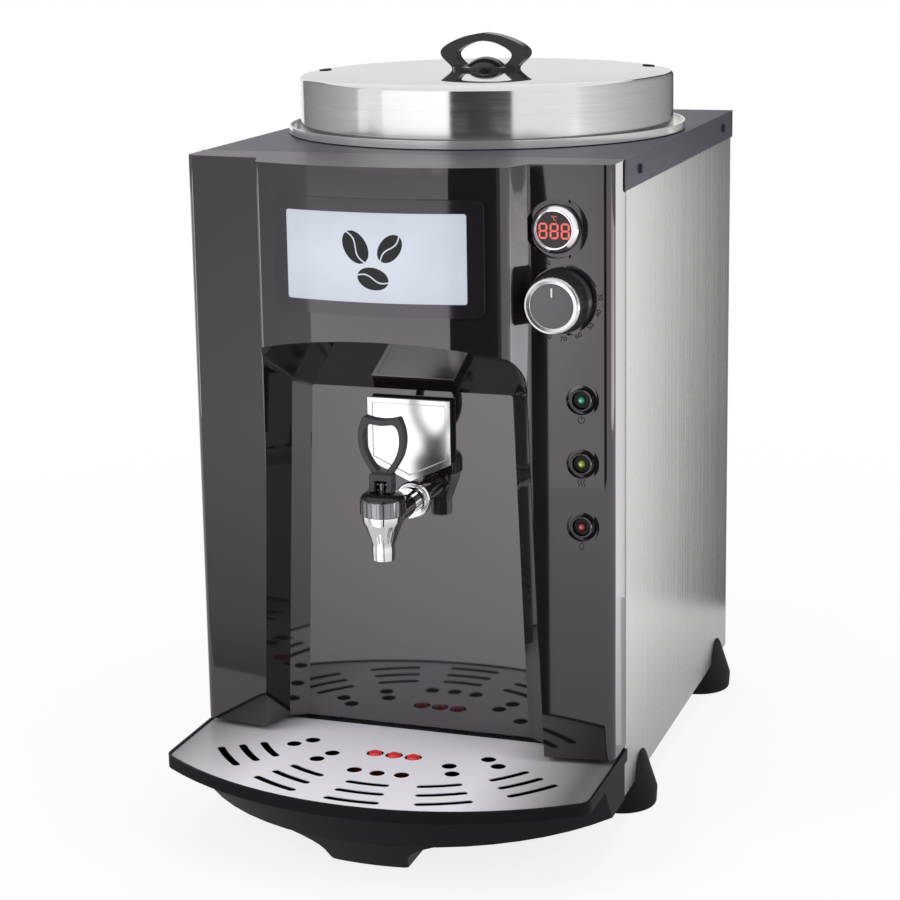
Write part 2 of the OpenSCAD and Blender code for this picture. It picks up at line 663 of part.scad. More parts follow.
spindle_end = knob_y - knob_out + 5;
thermo_y = face_y(knob_x + 17) + mould_wall + 0.1;
module thermostat_body() {
    y0 = thermo_y;
    color([0.85, 0.83, 0.75]) at_knob() difference() {
        union() {
            block([-17, y0 + 2, -20], [17, y0 + 24, 20]);
            block([-13, y0, -24], [13, y0 + 2, 24]);
            for (sx = [-1, 1]) block([sx * 9 - 3, y0 + 24, -14], [sx * 9 + 3, y0 + 25, -4]);
        }
        rod_y(spindle_r + running, y0 - 1, y0 + 14);
    }
}
module thermostat_spindle() {
    color([0.75, 0.7, 0.5]) at_knob() difference() {
        rod_y(spindle_r, spindle_end, thermo_y + 14 - fit);
        block([-spindle_r, spindle_end - 1, spindle_r - 1.2], [spindle_r, knob_y - 4, spindle_r + 1]);
    }
}
module knob_skirt() {
    y1 = knob_y - knob_out + 3.2;
    color([0.06, 0.06, 0.06]) at_knob() difference() {
        union() {
            translate([0, knob_y, 0]) rotate([90, 0, 0]) rotate_extrude($fn = 72) polygon([
                [0, 3], [knob_r - 3, 3], [knob_r - 3, 0], [knob_r, 0], [knob_r, 2.5],
                [knob_ring_r + 1.2, 6], [knob_ring_r - 0.2, knob_out - 3.2], [0, knob_out - 3.2]]);
            for (a = [0 : 10 : 350]) rotate([0, a, 0])
                block([-0.8, y1 + 1.5, knob_ring_r - 1], [0.8, knob_y - 6, knob_ring_r + 0.9]);
        }
        difference() {
            rod_y(spindle_r + fit / 3, spindle_end - fit, knob_y + 1);
            block([-spindle_r - 1, spindle_end - 1, spindle_r - 1.2 + fit / 3],
                  [spindle_r + 1, knob_y - 4 + eps, spindle_r + 2]);
        }
    }
}
module knob_rings() {
    y = knob_y - knob_out + 3.2;
    color([0.88, 0.88, 0.9]) at_knob() translate([0, y, 0]) rotate([90, 0, 0]) {
        rotate_extrude($fn = 72) polygon([
            [knob_ring_r - 4.4, 0], [knob_ring_r, 0], [knob_ring_r, 0.6], [knob_ring_r - 0.7, 0.9],
            [knob_ring_r - 0.7, 1.5], [knob_ring_r, 1.8], [knob_ring_r - 0.4, 2.7],
            [knob_ring_r - 1.6, 3.2], [knob_ring_r - 4.1, 2.6], [knob_ring_r - 4.4, 2.2]]);
    }
}
module knob_cap() {
    y = knob_y - knob_out + 3.2;
    color([0.42, 0.42, 0.44]) at_knob() {
        rod_y(knob_ring_r - 4.4, y - 2, y);
        block([-0.7, y - 2.3, 6], [0.7, y - 2, 13]);
    }
}

// ---- Tank, heater and lid -----------------------------------------------------------

module tank() {
    zb = tank_z0;
    zf = top_z + 0.8;                            // underside of the dished rim, on its gasket
    color([0.78, 0.78, 0.8]) difference() {
        translate([0, tank_cy, 0]) rotate_extrude($fn = 128) polygon([
            [0, zb], [tank_r - 5, zb], [tank_r, zb + 5], [tank_r, zf], [rim_r, zf],
            [rim_r, zf + rim_h], [rim_r - 1.6, zf + rim_h], [rim_r - 1.6, zf + tank_wall],
            [tank_r - tank_wall, zf + tank_wall], [tank_r - tank_wall, zb + 5.5],
            [tank_r - 5.5, zb + tank_wall], [0, zb + tank_wall]]);
        translate([0, 0, tap_z]) rod_y(waterway_r, tank_cy - tank_r - 3, tank_cy - tank_r + 10);
    }
}
module rim_gasket() {
    color([0.15, 0.15, 0.16]) translate([0, tank_cy, top_z]) difference() {
        cylinder(r = tank_r + 8, h = 0.8, $fn = 96);
        translate([0, 0, -1]) cylinder(r = tank_r + 2, h = 3, $fn = 96);
    }
}

heater_z = tank_z0 + 34;
lag_z0 = heater_z + heater_h + 4;
lag_z1 = top_z - sheet - 6;
bulb_a = -52;                                    // direction of the bulb from the tank's axis
bulb_r = 4;
bulb_l = 80;
module tank_lagging() {
    color([0.85, 0.8, 0.55]) difference() {
        translate([0, tank_cy, lag_z0]) cylinder(r = tank_r + fit + lagging, h = lag_z1 - lag_z0, $fn = 96);
        translate([0, tank_cy, lag_z0 - 1]) cylinder(r = tank_r + fit, h = lag_z1 - lag_z0 + 2, $fn = 96);
        translate([0, tank_cy, 0]) rotate([0, 0, bulb_a])
            block([tank_r - 2, -8, lag_z0 - 1], [tank_r + lagging + 2, 8, lag_z0 + bulb_l + 12]);
    }
}
module band_heater() {
    r0 = tank_r + 0.1;
    color([0.7, 0.66, 0.55]) translate([0, tank_cy, heater_z]) difference() {
        union() {
            cylinder(r = r0 + heater_t, h = heater_h, $fn = 96);
            block([r0 - 6, -7, 4], [r0 + 12, 7, heater_h - 4]);
            for (a = [120, 240]) rotate([0, 0, a]) block([r0 - 2, -9, 8], [r0 + 9, 9, heater_h - 8]);
        }
        translate([0, 0, -1]) cylinder(r = r0, h = heater_h + 2, $fn = 96);
        block([r0 - 8, -2, -1], [r0 + 14, 2, heater_h + 1]);
    }
}
module tank_stand() {
    ring_t = 3;
    leg_r = 7;
    ring_r = tank_r - 12;
    color([0.45, 0.45, 0.47]) translate([0, tank_cy, 0]) {
        difference() {
            translate([0, 0, tank_z0 - ring_t]) cylinder(r = ring_r + leg_r, h = ring_t, $fn = 96);
            translate([0, 0, tank_z0 - ring_t - 1]) cylinder(r = ring_r - 12, h = ring_t + 2, $fn = 96);
        }
        for (a = [45 : 90 : 315]) rotate([0, 0, a]) translate([ring_r - 3, 0, base_z + sheet]) {
            cylinder(r = leg_r, h = tank_z0 - ring_t - base_z - sheet);
            cylinder(r = leg_r + 7, h = 2.5);
        }
    }
}
module capillary_bulb() {
    r = tank_r + bulb_r + 0.2;
    bx = r * cos(bulb_a);
    by = tank_cy + r * sin(bulb_a);
    z0 = lag_z0 + 4;
    t = 1.1;                                     // radius of the fine tube
    z1 = z0 - 6;                                 // level at which the tube runs to the front
    p = [[bx, by, z0], [bx, by, z1], [knob_x - 20, by, z1], [knob_x - 20, sheet_y + 12, z1],
         [knob_x - 20, sheet_y + 12, knob_z - 50], [knob_x - 20, thermo_y + 30, knob_z - 50],
         [knob_x - 20, thermo_y + 30, knob_z + 4], [knob_x - 14, thermo_y + 30, knob_z + 4]];
    color([0.75, 0.5, 0.3]) {
        translate([bx, by, z0]) cylinder(r = bulb_r, h = bulb_l);
        for (i = [0 : len(p) - 2]) tube_between(p[i], p[i + 1], t);
        for (i = [1 : len(p) - 1]) translate(p[i]) sphere(r = t + 0.1, $fn = 16);
        translate([knob_x - 14, 0, knob_z + 4]) rod_y(2, thermo_y + 24, thermo_y + 31);
    }
}
// A round rod between two points that differ along one axis only.
module tube_between(a, b, r) {
    d = b - a;
    translate(a) rotate(abs(d.z) > 0 ? [d.z > 0 ? 0 : 180, 0, 0]
        : abs(d.y) > 0 ? [d.y > 0 ? -90 : 90, 0, 0] : [0, d.x > 0 ? 90 : -90, 0])
        cylinder(r = r, h = norm(d), $fn = 16);
}
module cutout_thermostat() {
    color([0.2, 0.2, 0.22]) translate([0, tank_cy, tank_z0]) {
        translate([0, 0, -12]) cylinder(r = 10, h = 12);
        translate([0, 0, -14]) cylinder(r = 6, h = 2);
        for (sx = [-1, 1]) block([sx * 4 - 2, -0.5, -20], [sx * 4 + 2, 0.5, -14]);
    }
}

lid_z = top_z + lid_h + lid_rise;                // flat middle of the lid
vent_as = [27, 187];                             // directions of the vent holes from the lid's axis
module lid_shell() {
    zt = top_z + lid_h;
    zb = top_z + 0.8 + tank_wall + fit;
    s = lid_shoulder;
    function dome(t) = [for (p = [[12, 0.62], [26, 0.93], [40, 1]]) [lid_r - s - p.x, zt + p.y * lid_rise - t]];
    color([0.8, 0.8, 0.81]) difference() {
        translate([0, tank_cy, 0]) rotate_extrude($fn = 128) polygon(concat(
            [[lid_r - lid_t, zb], [lid_r, zb]], arc(lid_r - s, zt - s, s, 0, 90, 6),
            dome(0), [[0, lid_z], [0, lid_z - lid_t]], [for (i = [2 : -1 : 0]) dome(lid_t)[i]],
            arc(lid_r - s, zt - s, s - lid_t, 90, 0, 6)));
        translate([0, tank_cy, lid_z - 4]) for (a = vent_as) rotate([0, 0, a])
            translate([vent_x, 0, 0]) cylinder(r = vent_r, h = 8);
        translate([0, tank_cy, lid_z - 4]) cylinder(r = screw_r + fit, h = 8);
    }
}
// The handle is a flat ring that narrows to a foot plate on the lid.
// Half outlines as fractions of the half width and of the height.
ring_out = [[0.74, 0.07], [0.89, 0.24], [0.97, 0.34], [1, 0.44], [0.98, 0.55], [0.84, 0.69], [0.61, 0.83],
            [0.31, 0.95], [0, 1]];
ring_in = [[0.46, 0.1], [0.59, 0.25], [0.65, 0.38], [0.62, 0.48], [0.51, 0.59], [0.31, 0.71], [0.15, 0.765],
           [0, 0.78]];
boss_base = 16;
boss_h = 7.4;
// Cuts the corners of an open line and keeps its ends.
function eased(p) = concat([p[0]], [for (i = [0 : len(p) - 2])
    each [p[i] * 0.75 + p[i + 1] * 0.25, p[i] * 0.25 + p[i + 1] * 0.75]], [p[len(p) - 1]]);
module half_outline(f, w, h) {
    right = [for (p = eased(eased(f))) [p.x * w / 2, p.y * h]];
    polygon(concat(right, flip_x(right)));
}
module lid_handle() {
    color([0.06, 0.06, 0.06]) translate([0, tank_cy, lid_z]) difference() {
        union() {
            translate([0, grip_depth / 2, 0]) rotate([90, 0, 0]) linear_extrude(grip_depth) difference() {
                half_outline(concat([[grip_foot / grip_w, 0]], ring_out), grip_w, grip_h);
                half_outline(ring_in, grip_w, grip_h);
            }
            cylinder(r = grip_foot / 2, h = 2.5);
        }
        translate([0, 0, -1]) cylinder(r = screw_r + fit, h = 8);
        translate([0, 0, 2.5]) cylinder(r = boss_base + fit, h = 2.2);
    }
}
module lid_boss() {
    r = (boss_base * boss_base + boss_h * boss_h) / (2 * boss_h);
    color([0.12, 0.12, 0.12]) translate([0, tank_cy, lid_z]) {
        translate([0, 0, 2.5]) rotate_extrude($fn = 48)
            polygon(concat([[0, 0]], arc(0, boss_h - r, r, asin((r - boss_h) / r), 90, 8)));
        translate([0, 0, -lid_t - 4]) cylinder(r = screw_r, h = lid_t + 8);
        translate([0, 0, -lid_t - 3.5]) cylinder(r = 2 * screw_r, h = 3.5, $fn = 6);
    }
}

// ---- Mains parts --------------------------------------------------------------------

module terminal_block() {
    color([0.9, 0.9, 0.88]) difference() {
        block([40, case_y1 - 70, base_z + sheet], [90, case_y1 - 50, base_z + sheet + 18]);
        for (i = [0 : 3]) translate([46.5 + i * 12, case_y1 - 60, base_z + sheet + 8])
            cylinder(r = 3, h = 20);
    }
}
module control_board() {
    z = base_z + sheet;
    top = z + board_post + board_t;
    color([0.1, 0.35, 0.15]) {
        for (x = [board_x + 6, board_x + board_w - 6], y = [board_y + 6, board_y + board_l - 6])
            translate([x, y, z]) cylinder(r = 3, h = board_post);
        block([board_x, board_y, z + board_post], [board_x + board_w, board_y + board_l, top]);
        block([board_x + 10, board_y + 14, top], [board_x + 30, board_y + 42, top + relay_h]);
        block([board_x + 46, board_y + 20, top], [board_x + 66, board_y + 50, top + relay_h - 8]);
    }
}
module at_gland() { translate([gland_x, 0, gland_z]) children(); }
module cable_gland() {
    color([0.07, 0.07, 0.07]) at_gland() difference() {
        union() {
            rod_y(gland_r, back_y - sheet - 12, back_y);
            rod_y(gland_r + 3.5, back_y, back_y + 6);
            translate([0, back_y + 6, 0]) rotate([-90, 0, 0])
                cylinder(r1 = gland_r + 1, r2 = cord_hole_r + 2, h = gland_out - 6);
        }
        rod_y(cord_hole_r, back_y - sheet - 13, back_y + gland_out + 1);
    }
}
module gland_nut() {
    color([0.1, 0.1, 0.1]) at_gland() translate([0, back_y - sheet, 0]) rotate([90, 0, 0]) difference() {
        cylinder(r = gland_r + 5, h = 5, $fn = 6);
        translate([0, 0, -1]) cylinder(r = gland_r + 0.1, h = 7);
    }
}

// ---- Tap ----------------------------------------------------------------------------

spout_y = alcove_y - tap_reach;
nut_y = sheet_y + sheet;
shank_end = nut_y + 24;
pipe_y = shank_end + 1;
bonnet_z = tap_z + 6;                            // underside of the bonnet
bonnet_top = tap_z + 23;
bonnet_roof = 4;                                 // thickness of the bonnet's roof
seat_z = tap_z - 11;
chamber_r = 9.5;
neck_r = 12;
module at_spout() { translate([0, spout_y, 0]) children(); }

module tap_body() {
    color([0.85, 0.85, 0.87]) difference() {
        union() {
            at_spout() translate([0, 0, tap_z]) rotate_extrude($fn = 64) polygon([
                [0, -spout_l], [spout_r, -spout_l], [spout_r + 0.2, -spout_l + 6],
                [spout_r + 0.1, -spout_l + 12], [cone_r, 2], [cone_r, 6], [neck_r, 6], [neck_r, 14],
                [0, 14]]);
            translate([0, 0, tap_z]) {
                rod_y(shank_r, spout_y + 5, shank_end);
                rod_y(shank_r + 1.6, spout_y + 13, spout_y + 17);
                rod_y(shank_r + 2.6, alcove_y - 12, alcove_y - 7);
            }
        }
        at_spout() {
            translate([0, 0, seat_z]) cylinder(r = chamber_r, h = tap_z + 15 - seat_z);
            translate([0, 0, tap_z - spout_l - 1]) cylinder(r = mouth_r, h = spout_l);
        }
        translate([0, 0, tap_z]) rod_y(waterway_r, spout_y + 2, shank_end + 1);
        // the shank is cut flat where the bonnet passes over it
        at_spout() translate([0, 0, bonnet_z]) difference() {
            cylinder(r = bonnet_r + 1.5, h = 8);
            translate([0, 0, -1]) cylinder(r = neck_r, h = 10);
        }
    }
}
module tap_rosette() {
    color([0.85, 0.85, 0.87]) translate([0, alcove_y, tap_z]) rotate([90, 0, 0])
        rotate_extrude($fn = 64) polygon([
            [shank_r + fit, 0], [rosette_r, 0], [rosette_r, 1.4], [rosette_r - 1.4, 2.8],
            [rosette_r - 2.4, 2.6], [rosette_r - 2.8, 3.8], [shank_r + fit, 4.6]]);
}
module shank_washer() {
    color([0.8, 0.3, 0.25]) translate([0, 0, tap_z]) difference() {
        rod_y(shank_r + 6, nut_y, nut_y + 2);
        rod_y(shank_r + 0.1, nut_y - 1, nut_y + 4);
    }
}
module shank_nut() {
    color([0.75, 0.7, 0.5]) translate([0, nut_y + 2, tap_z]) rotate([-90, 0, 0]) difference() {
        cylinder(r = shank_r + 6, h = 7, $fn = 6);
        translate([0, 0, -1]) cylinder(r = shank_r + 0.1, h = 9);
    }
}
module outlet_pipe() {
    color([0.75, 0.75, 0.77]) translate([0, 0, tap_z]) difference() {
        union() {
            rod_y(shank_r, pipe_y, tank_cy - tank_r + 1.5);
            rod_y(shank_r + 4, tank_cy - tank_r - 3, tank_cy - tank_r + 1.5);
        }
        rod_y(waterway_r, pipe_y - 1, tank_cy);
        translate([0, tank_cy, -30]) cylinder(r = tank_r + eps, h = 60, $fn = 128);
    }
}
module union_nut() {
    color([0.75, 0.7, 0.5]) translate([0, pipe_y - 11, tap_z]) rotate([-90, 0, 0]) difference() {
        cylinder(r = shank_r + 5, h = 20, $fn = 6);
        translate([0, 0, -1]) cylinder(r = shank_r + 0.1, h = 22);
    }
}

module tap_bonnet() {
    h = bonnet_top - bonnet_z;
    ring_h = h - 5;
    color([0.8, 0.8, 0.82]) at_spout() translate([0, 0, bonnet_z]) difference() {
        union() {
            rotate_extrude($fn = 64) polygon([
                [0, 0], [bonnet_r - 1.3, 0], [bonnet_r - 0.5, 0.8], [bonnet_r - 0.5, ring_h],
                [bonnet_r - 0.8, ring_h + 1.4], [bonnet_r - 1.9, ring_h + 3], [bonnet_r - 3.6, ring_h + 4.3],
                [bonnet_r - 5.6, h], [0, h]]);
            for (a = [0 : 15 : 345]) rotate([0, 0, a])
                block([bonnet_r - 1.5, -1.3, 1], [bonnet_r, 1.3, ring_h - 0.6]);
        }
        translate([0, 0, -1]) cylinder(r = neck_r + 0.1, h = 9.1);
        translate([0, 0, 7]) cylinder(r = chamber_r, h = h - bonnet_roof - 7);
        cylinder(r = stem_r + running, h = h + 1);
    }
}

pin_z = bonnet_top + fit + 5.2;                  // axis of the lever's cross pin
fork_h = 8.3;                                    // from the pin up to the fork's top
heel = pin_z - bonnet_top - fit;                 // from the pin down to the lever's flat heel
cam_rate = lift / (lever_angle * PI / 180);      // lift per radian
module tap_stem() {
    color([0.7, 0.7, 0.72]) at_spout() difference() {
        union() {
            translate([0, 0, seat_z + 4]) cylinder(r = stem_r, h = pin_z - seat_z - 4);
            translate([0, 0, pin_z]) sphere(r = stem_r);
            translate([0, 0, seat_z + 8]) cylinder(r = 6, h = 1.5);
        }
        translate([-10, 0, pin_z]) rotate([0, 90, 0]) cylinder(r = pin_r + running, h = 20);
    }
}
module seat_cup() {
    color([0.9, 0.9, 0.88]) at_spout() translate([0, 0, seat_z]) difference() {
        rotate_extrude($fn = 48)
            polygon([[0, 0], [mouth_r + 1.5, 0], [mouth_r + 2.5, 3], [mouth_r + 2.5, 8], [0, 8]]);
        translate([0, 0, 4]) cylinder(r = stem_r + 0.01, h = 6);
    }
}
// The return spring: stacked turns between the stem's collar and the bonnet's roof.
module stem_spring() {
    z0 = seat_z + 9.6;
    z1 = bonnet_top - bonnet_roof - 0.1;
    n = 7;
    color([0.7, 0.7, 0.72]) at_spout() for (i = [0 : n])
        translate([0, 0, z0 + 0.6 + (z1 - z0 - 1.2) * i / n]) rotate_extrude($fn = 40)
            translate([stem_r + 0.9, 0]) circle(r = 0.6, $fn = 12);
}
// The lever's heel is an involute: the stem then rises in step with the lever's angle.
function heel_pt(a) = let (h = heel + cam_rate * a * PI / 180)
    [-h * sin(a) - cam_rate * cos(a), -h * cos(a) + cam_rate * sin(a)];
module fork_profile() {
    nose = heel_pt(lever_angle);
    polygon(concat([[5, -heel]], [for (a = [0 : 5 : lever_angle]) heel_pt(a)],
                   [[-4.6, nose.y + 3], [-4.2, fork_h], [5, fork_h]]));
}
// Half outlines of the loop as fractions of its half width and of its height.
loop_out = [[0.39, -0.02], [0.62, 0.13], [0.855, 0.3], [0.967, 0.47], [1, 0.635], [0.95, 0.8], [0.84, 0.93],
            [0.78, 0.985], [0.71, 1], [0.62, 0.985], [0.35, 0.957], [0, 0.945]];
loop_in = [[0.19, 0.045], [0.46, 0.19], [0.64, 0.33], [0.74, 0.47], [0.77, 0.62], [0.73, 0.75], [0.64, 0.83],
           [0.52, 0.865], [0.4, 0.862], [0, 0.84]];
loop_y = 3;                                      // the loop stands this far behind the pin
module tap_lever() {
    color([0.33, 0.33, 0.35]) at_spout() difference() {
        union() {
            translate([-fork_w / 2, 0, pin_z]) rotate([90, 0, 90]) linear_extrude(fork_w) fork_profile();
            translate([0, loop_y + loop_depth / 2, pin_z + fork_h]) rotate([90, 0, 0])
                linear_extrude(loop_depth) difference() {
                    half_outline(loop_out, loop_w, loop_h);
                    half_outline(loop_in, loop_w, loop_h);
                }
        }
        block([-stem_r - 1.7, -30, pin_z - 20], [stem_r + 1.7, stem_r + 0.6, pin_z + stem_r + 0.5]);
        translate([-fork_w, 0, pin_z]) rotate([0, 90, 0]) cylinder(r = pin_r + 0.02, h = 2 * fork_w);
    }
}
module lever_pin() {
    color([0.75, 0.75, 0.77]) at_spout() translate([-fork_w / 2, 0, pin_z]) rotate([0, 90, 0])
        cylinder(r = pin_r, h = fork_w);
}

// ---- Drip tray ----------------------------------------------------------------------

tray_back = case_y0 - 1.5;                       // rear of the tray's rim
lower_back = case_y0 - 10;                       // rear of the tray's lower part
// Outline with a round front edge of radius r, its middle at -out, cut to half width hx.
function bowed(hx, out, r, back, corner) = let (
        cy = r - out, sweep = asin((hx - corner) / (r - corner)),
        cx = (r - corner) * sin(sweep), ccy = cy - (r - corner) * cos(sweep),
        half = concat([[hx, back]], [for (i = [0 : 5]) let (a = -(90 - sweep) * i / 5)
            [hx - corner + corner * cos(a), ccy + corner * sin(a)]],
            [for (i = [1 : 9]) let (a = sweep * (1 - i / 10)) [r * sin(a), cy - r * cos(a)]]))
    concat(half, [[0, -out]], flip_x(half));
module slab(pts, z0, z1) { translate([0, 0, z0]) linear_extrude(z1 - z0) polygon(pts); }

ledge_z = tray_z - 1 - grille_t;                 // ledge that the grille lies on
rim_t = 2;
module bowl(i, z0, z1) {
    hull() {
        slab(bowed(tray_x - i, tray_out - 1.5 - i, floor_r - i, lower_back - i, 3), z1 - 1, z1);
        slab(bowed(tray_x - i, floor_out - i, floor_r - i, lower_back - i, 3), z0, z0 + 1);
    }
}
// The leg spreads upwards and forwards into the tray's floor, whose front curve it follows.
leg_back = 25.5;                                 // how far the leg's foot stands behind the floor's edge
module tray_leg() {
    zf = tray_floor_z + tray_wall - 1;
    x = leg_w / 2 + 31;
    side = [[leg_w / 2 - 4, 0.4], [leg_w / 2 - 1, 1.2], [leg_w / 2, 4], [leg_w / 2 + 1.5, 11],
            [leg_w / 2 + 4.5, 16], [leg_w / 2 + 9, 20], [leg_w / 2 + 16, 24], [leg_w / 2 + 30, zf]];
    intersection() {
        rotate([90, 0, 0]) linear_extrude(2 * floor_out) polygon(concat(side, flip_x(side)));
        hull() {
            slab(bowed(x, floor_out - 1, floor_r - 1, 0, 3), zf - 1, zf);
            slab(bowed(x, floor_out - leg_back, floor_r - 1, 0, 3), 0.4, 1.4);
        }
        translate([-x, 0, 0]) rotate([90, 0, 90]) linear_extrude(2 * x) polygon([
            [-floor_out - 2, 0], [-floor_out - 2, zf + 1], [-floor_out + 78, zf + 1],
            [-floor_out + 62, 0]]);
    }
}
float_y = -23.5;
float_z = tray_floor_z + 20;                     // underside of the float at rest
float_pin_x = 24;
module drip_tray() {
    zr = tray_z - rim_band;
    color([0.16, 0.16, 0.17]) difference() {
        union() {
            difference() {
                union() {
                    bowl(0, tray_floor_z, zr + 1);
                    slab(bowed(tray_x, tray_out, tray_r, tray_back, tray_corner), zr, tray_z);
                }
                bowl(tray_wall, tray_floor_z + tray_wall, zr + 1 + eps);
                slab(bowed(tray_x - rim_t - 2, tray_out - rim_t - 2, tray_r - rim_t - 2, lower_back - rim_t,
                           tray_corner - rim_t - 2), zr + 1, tray_z + 1);
                slab(bowed(tray_x - rim_t, tray_out - rim_t, tray_r - rim_t, alcove_y + 1, tray_corner - rim_t),
                     ledge_z, tray_z + 1);
            }
            tray_leg();
            mirror_x() block([tongue_x - tongue_w / 2, lower_back - tray_wall, tongue_z],
                             [tongue_x + tongue_w / 2, sheet_y + tongue_l, tongue_z + tongue_t]);
            mirror_x() translate([float_pin_x, float_y, tray_floor_z]) {
                cylinder(r = 4, h = float_z - tray_floor_z);
                cylinder(r = 2, h = ledge_z - 1 - tray_floor_z);
            }
        }
    }
}

// The grille's slots lie on circles round a point behind its front edge.
fan_cy = 47;
fan_rs = [129, 145.5, 162];
fan_as = [-48.2, -24, 0, 24, 48.2];
slot_span = 15.2;
holes = [[0, 107.5], [10, 107.5], [-10, 107.5], [30, 107.5], [-30, 107.5], [49.8, 107.5], [-49.8, 107.5],
         [30.6, 92], [-30.6, 92], [50.6, 92], [-50.6, 92]];
module arc_slot(r, a) {
    h = slot_span / 2 - slot_w / 2 / r * 180 / PI;
    translate([0, fan_cy]) rotate(a - 90) {
        polygon(concat(arc(0, 0, r + slot_w / 2, -h, h, 5), arc(0, 0, r - slot_w / 2, h, -h, 5)));
        for (s = [-1, 1]) rotate(s * h) translate([r, 0]) circle(r = slot_w / 2, $fn = 24);
    }
}
float_holes = [-15.3, 0, 15.3];
module tray_grille() {
    color([0.72, 0.72, 0.75]) translate([0, 0, ledge_z]) linear_extrude(grille_t) difference() {
        polygon(bowed(tray_x - rim_t - fit, tray_out - rim_t - fit, tray_r - rim_t - fit,
                      alcove_y + 1 - fit, tray_corner - rim_t));
        for (r = fan_rs, a = fan_as) arc_slot(r, a);
        for (p = holes) translate([p[1] * sin(p[0]), fan_cy - p[1] * cos(p[0])])
            circle(r = hole_r, $fn = 32);
        for (x = float_holes) translate([x, float_y]) circle(r = float_hole_r, $fn = 32);
    }
}
module tray_float() {
    h = ledge_z - float_z - float_lift - fit;    // height of the float's block
    color([0.8, 0.05, 0.08]) translate([0, float_y, float_z]) difference() {
        union() {
            block([-30, -8, 0], [30, 8, h]);
            for (x = float_holes) translate([x, 0, 0]) rotate_extrude($fn = 32) polygon(concat(
                [[0, h - 1], [float_hole_r - 0.6, h - 1]],
                arc(0, ledge_z + grille_t - float_z - 4, float_hole_r - 0.6, 0, 90, 6)));
        }
        mirror_x() translate([float_pin_x, 0, -1]) cylinder(r = 2 + fit, h = h + 2);
    }
}
module tray_guides() {
    g = 2.5;
    y0 = sheet_y + sheet;
    color([0.2, 0.2, 0.22]) mirror_x() difference() {
        block([tongue_x - tongue_w / 2 - fit - g, y0, tongue_z - fit - g],
              [tongue_x + tongue_w / 2 + fit + g, y0 + tongue_l + 4, tongue_z + tongue_t + fit + g]);
        block([tongue_x - tongue_w / 2 - fit, y0 - 1, tongue_z - fit],
              [tongue_x + tongue_w / 2 + fit, y0 + tongue_l + 1, tongue_z + tongue_t + fit]);
    }
}

// ---- Assembly -----------------------------------------------------------------------

placed() base_plate();
placed() left_side_panel();
placed() right_side_panel();
placed() back_panel();
placed() front_sheet();
placed() top_cover();
placed() casing_screws();
placed() feet();
placed() foot_bolts();
placed() front_moulding();
placed() moulding_screws();
placed() panel_frame();
placed() lit_panel();
placed() light_board();
placed() badge_backing();
placed() badge_plate();
placed() display_bezel();
placed() display_case();
placed() display_window();
placed() lamp_bezels();
placed() lamp_lens_green();
placed() lamp_lens_amber();
placed() lamp_lens_red();
placed() lamp_bodies();
placed() thermostat_body();
placed() thermostat_spindle();
placed() capillary_bulb();
placed() knob_skirt();
placed() knob_rings();
placed() knob_cap();
placed() tank();
placed() rim_gasket();
placed() tank_lagging();
placed() band_heater();
placed() tank_stand();
placed() cutout_thermostat();
placed() terminal_block();
placed() control_board();
placed() cable_gland();
placed() gland_nut();
placed() outlet_pipe();
placed() union_nut();
placed() tap_body();
placed() tap_rosette();
placed() shank_washer();
placed() shank_nut();
placed() tap_bonnet();
placed() tap_stem();
placed() seat_cup();
placed() stem_spring();
placed() tap_lever();
placed() lever_pin();
placed() lid_shell();
placed() lid_handle();
placed() lid_boss();
placed() drip_tray();
placed() tray_grille();
placed() tray_float();
placed() tray_guides();
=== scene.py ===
# The looks of a countertop coffee urn: steel casing, glossy front moulding with a lit
# panel and controls, self-closing tap in an alcove, lidded tank and drip tray.
# Metres. X to the right, Y to the back, Z up from the counter.
from math import cos, pi, radians, sin, sqrt
import bmesh
import bpy
from mathutils import Matrix, Vector
from mathutils.bvhtree import BVHTree


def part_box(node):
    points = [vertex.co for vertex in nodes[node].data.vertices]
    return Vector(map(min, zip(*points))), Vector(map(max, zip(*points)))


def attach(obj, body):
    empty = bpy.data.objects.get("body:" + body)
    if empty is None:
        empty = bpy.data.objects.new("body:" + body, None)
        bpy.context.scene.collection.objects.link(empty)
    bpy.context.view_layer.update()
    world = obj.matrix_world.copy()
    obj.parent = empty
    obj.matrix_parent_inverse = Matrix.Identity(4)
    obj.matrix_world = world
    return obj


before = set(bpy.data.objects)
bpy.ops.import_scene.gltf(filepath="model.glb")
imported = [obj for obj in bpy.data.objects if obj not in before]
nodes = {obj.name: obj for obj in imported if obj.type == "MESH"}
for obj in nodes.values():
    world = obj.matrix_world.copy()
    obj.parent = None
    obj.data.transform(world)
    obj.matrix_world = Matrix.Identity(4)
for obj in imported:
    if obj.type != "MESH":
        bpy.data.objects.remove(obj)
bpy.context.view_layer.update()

# ---- Camera -------------------------------------------------------------------------
# A long lens at the urn's right-hand front corner, a little above the lid, tilted down.
scene = bpy.context.scene


def added(name, data):
    """Puts a new object in the scene."""
    obj = bpy.data.objects.new(name, data)
    scene.collection.objects.link(obj)
    return obj


camera = added("camera", bpy.data.cameras.new("camera"))
bpy.context.scene.camera = camera
yaw, pitch, roll = 0.32843, 0.20782, -0.01577
level = Vector((cos(yaw), sin(yaw), 0))
ahead = Vector((-sin(yaw) * cos(pitch), cos(yaw) * cos(pitch), -sin(pitch)))
upright = level.cross(ahead)
across = cos(roll) * level + sin(roll) * upright
aloft = cos(roll) * upright - sin(roll) * level
stand = Matrix((across, aloft, -ahead)).transposed().to_4x4()
stand.translation = Vector((0.5646, -1.68375, 0.7015))
camera.matrix_world = stand
camera.data.sensor_width = 36
camera.data.lens = 90.43
camera.data.shift_y = -0.0889

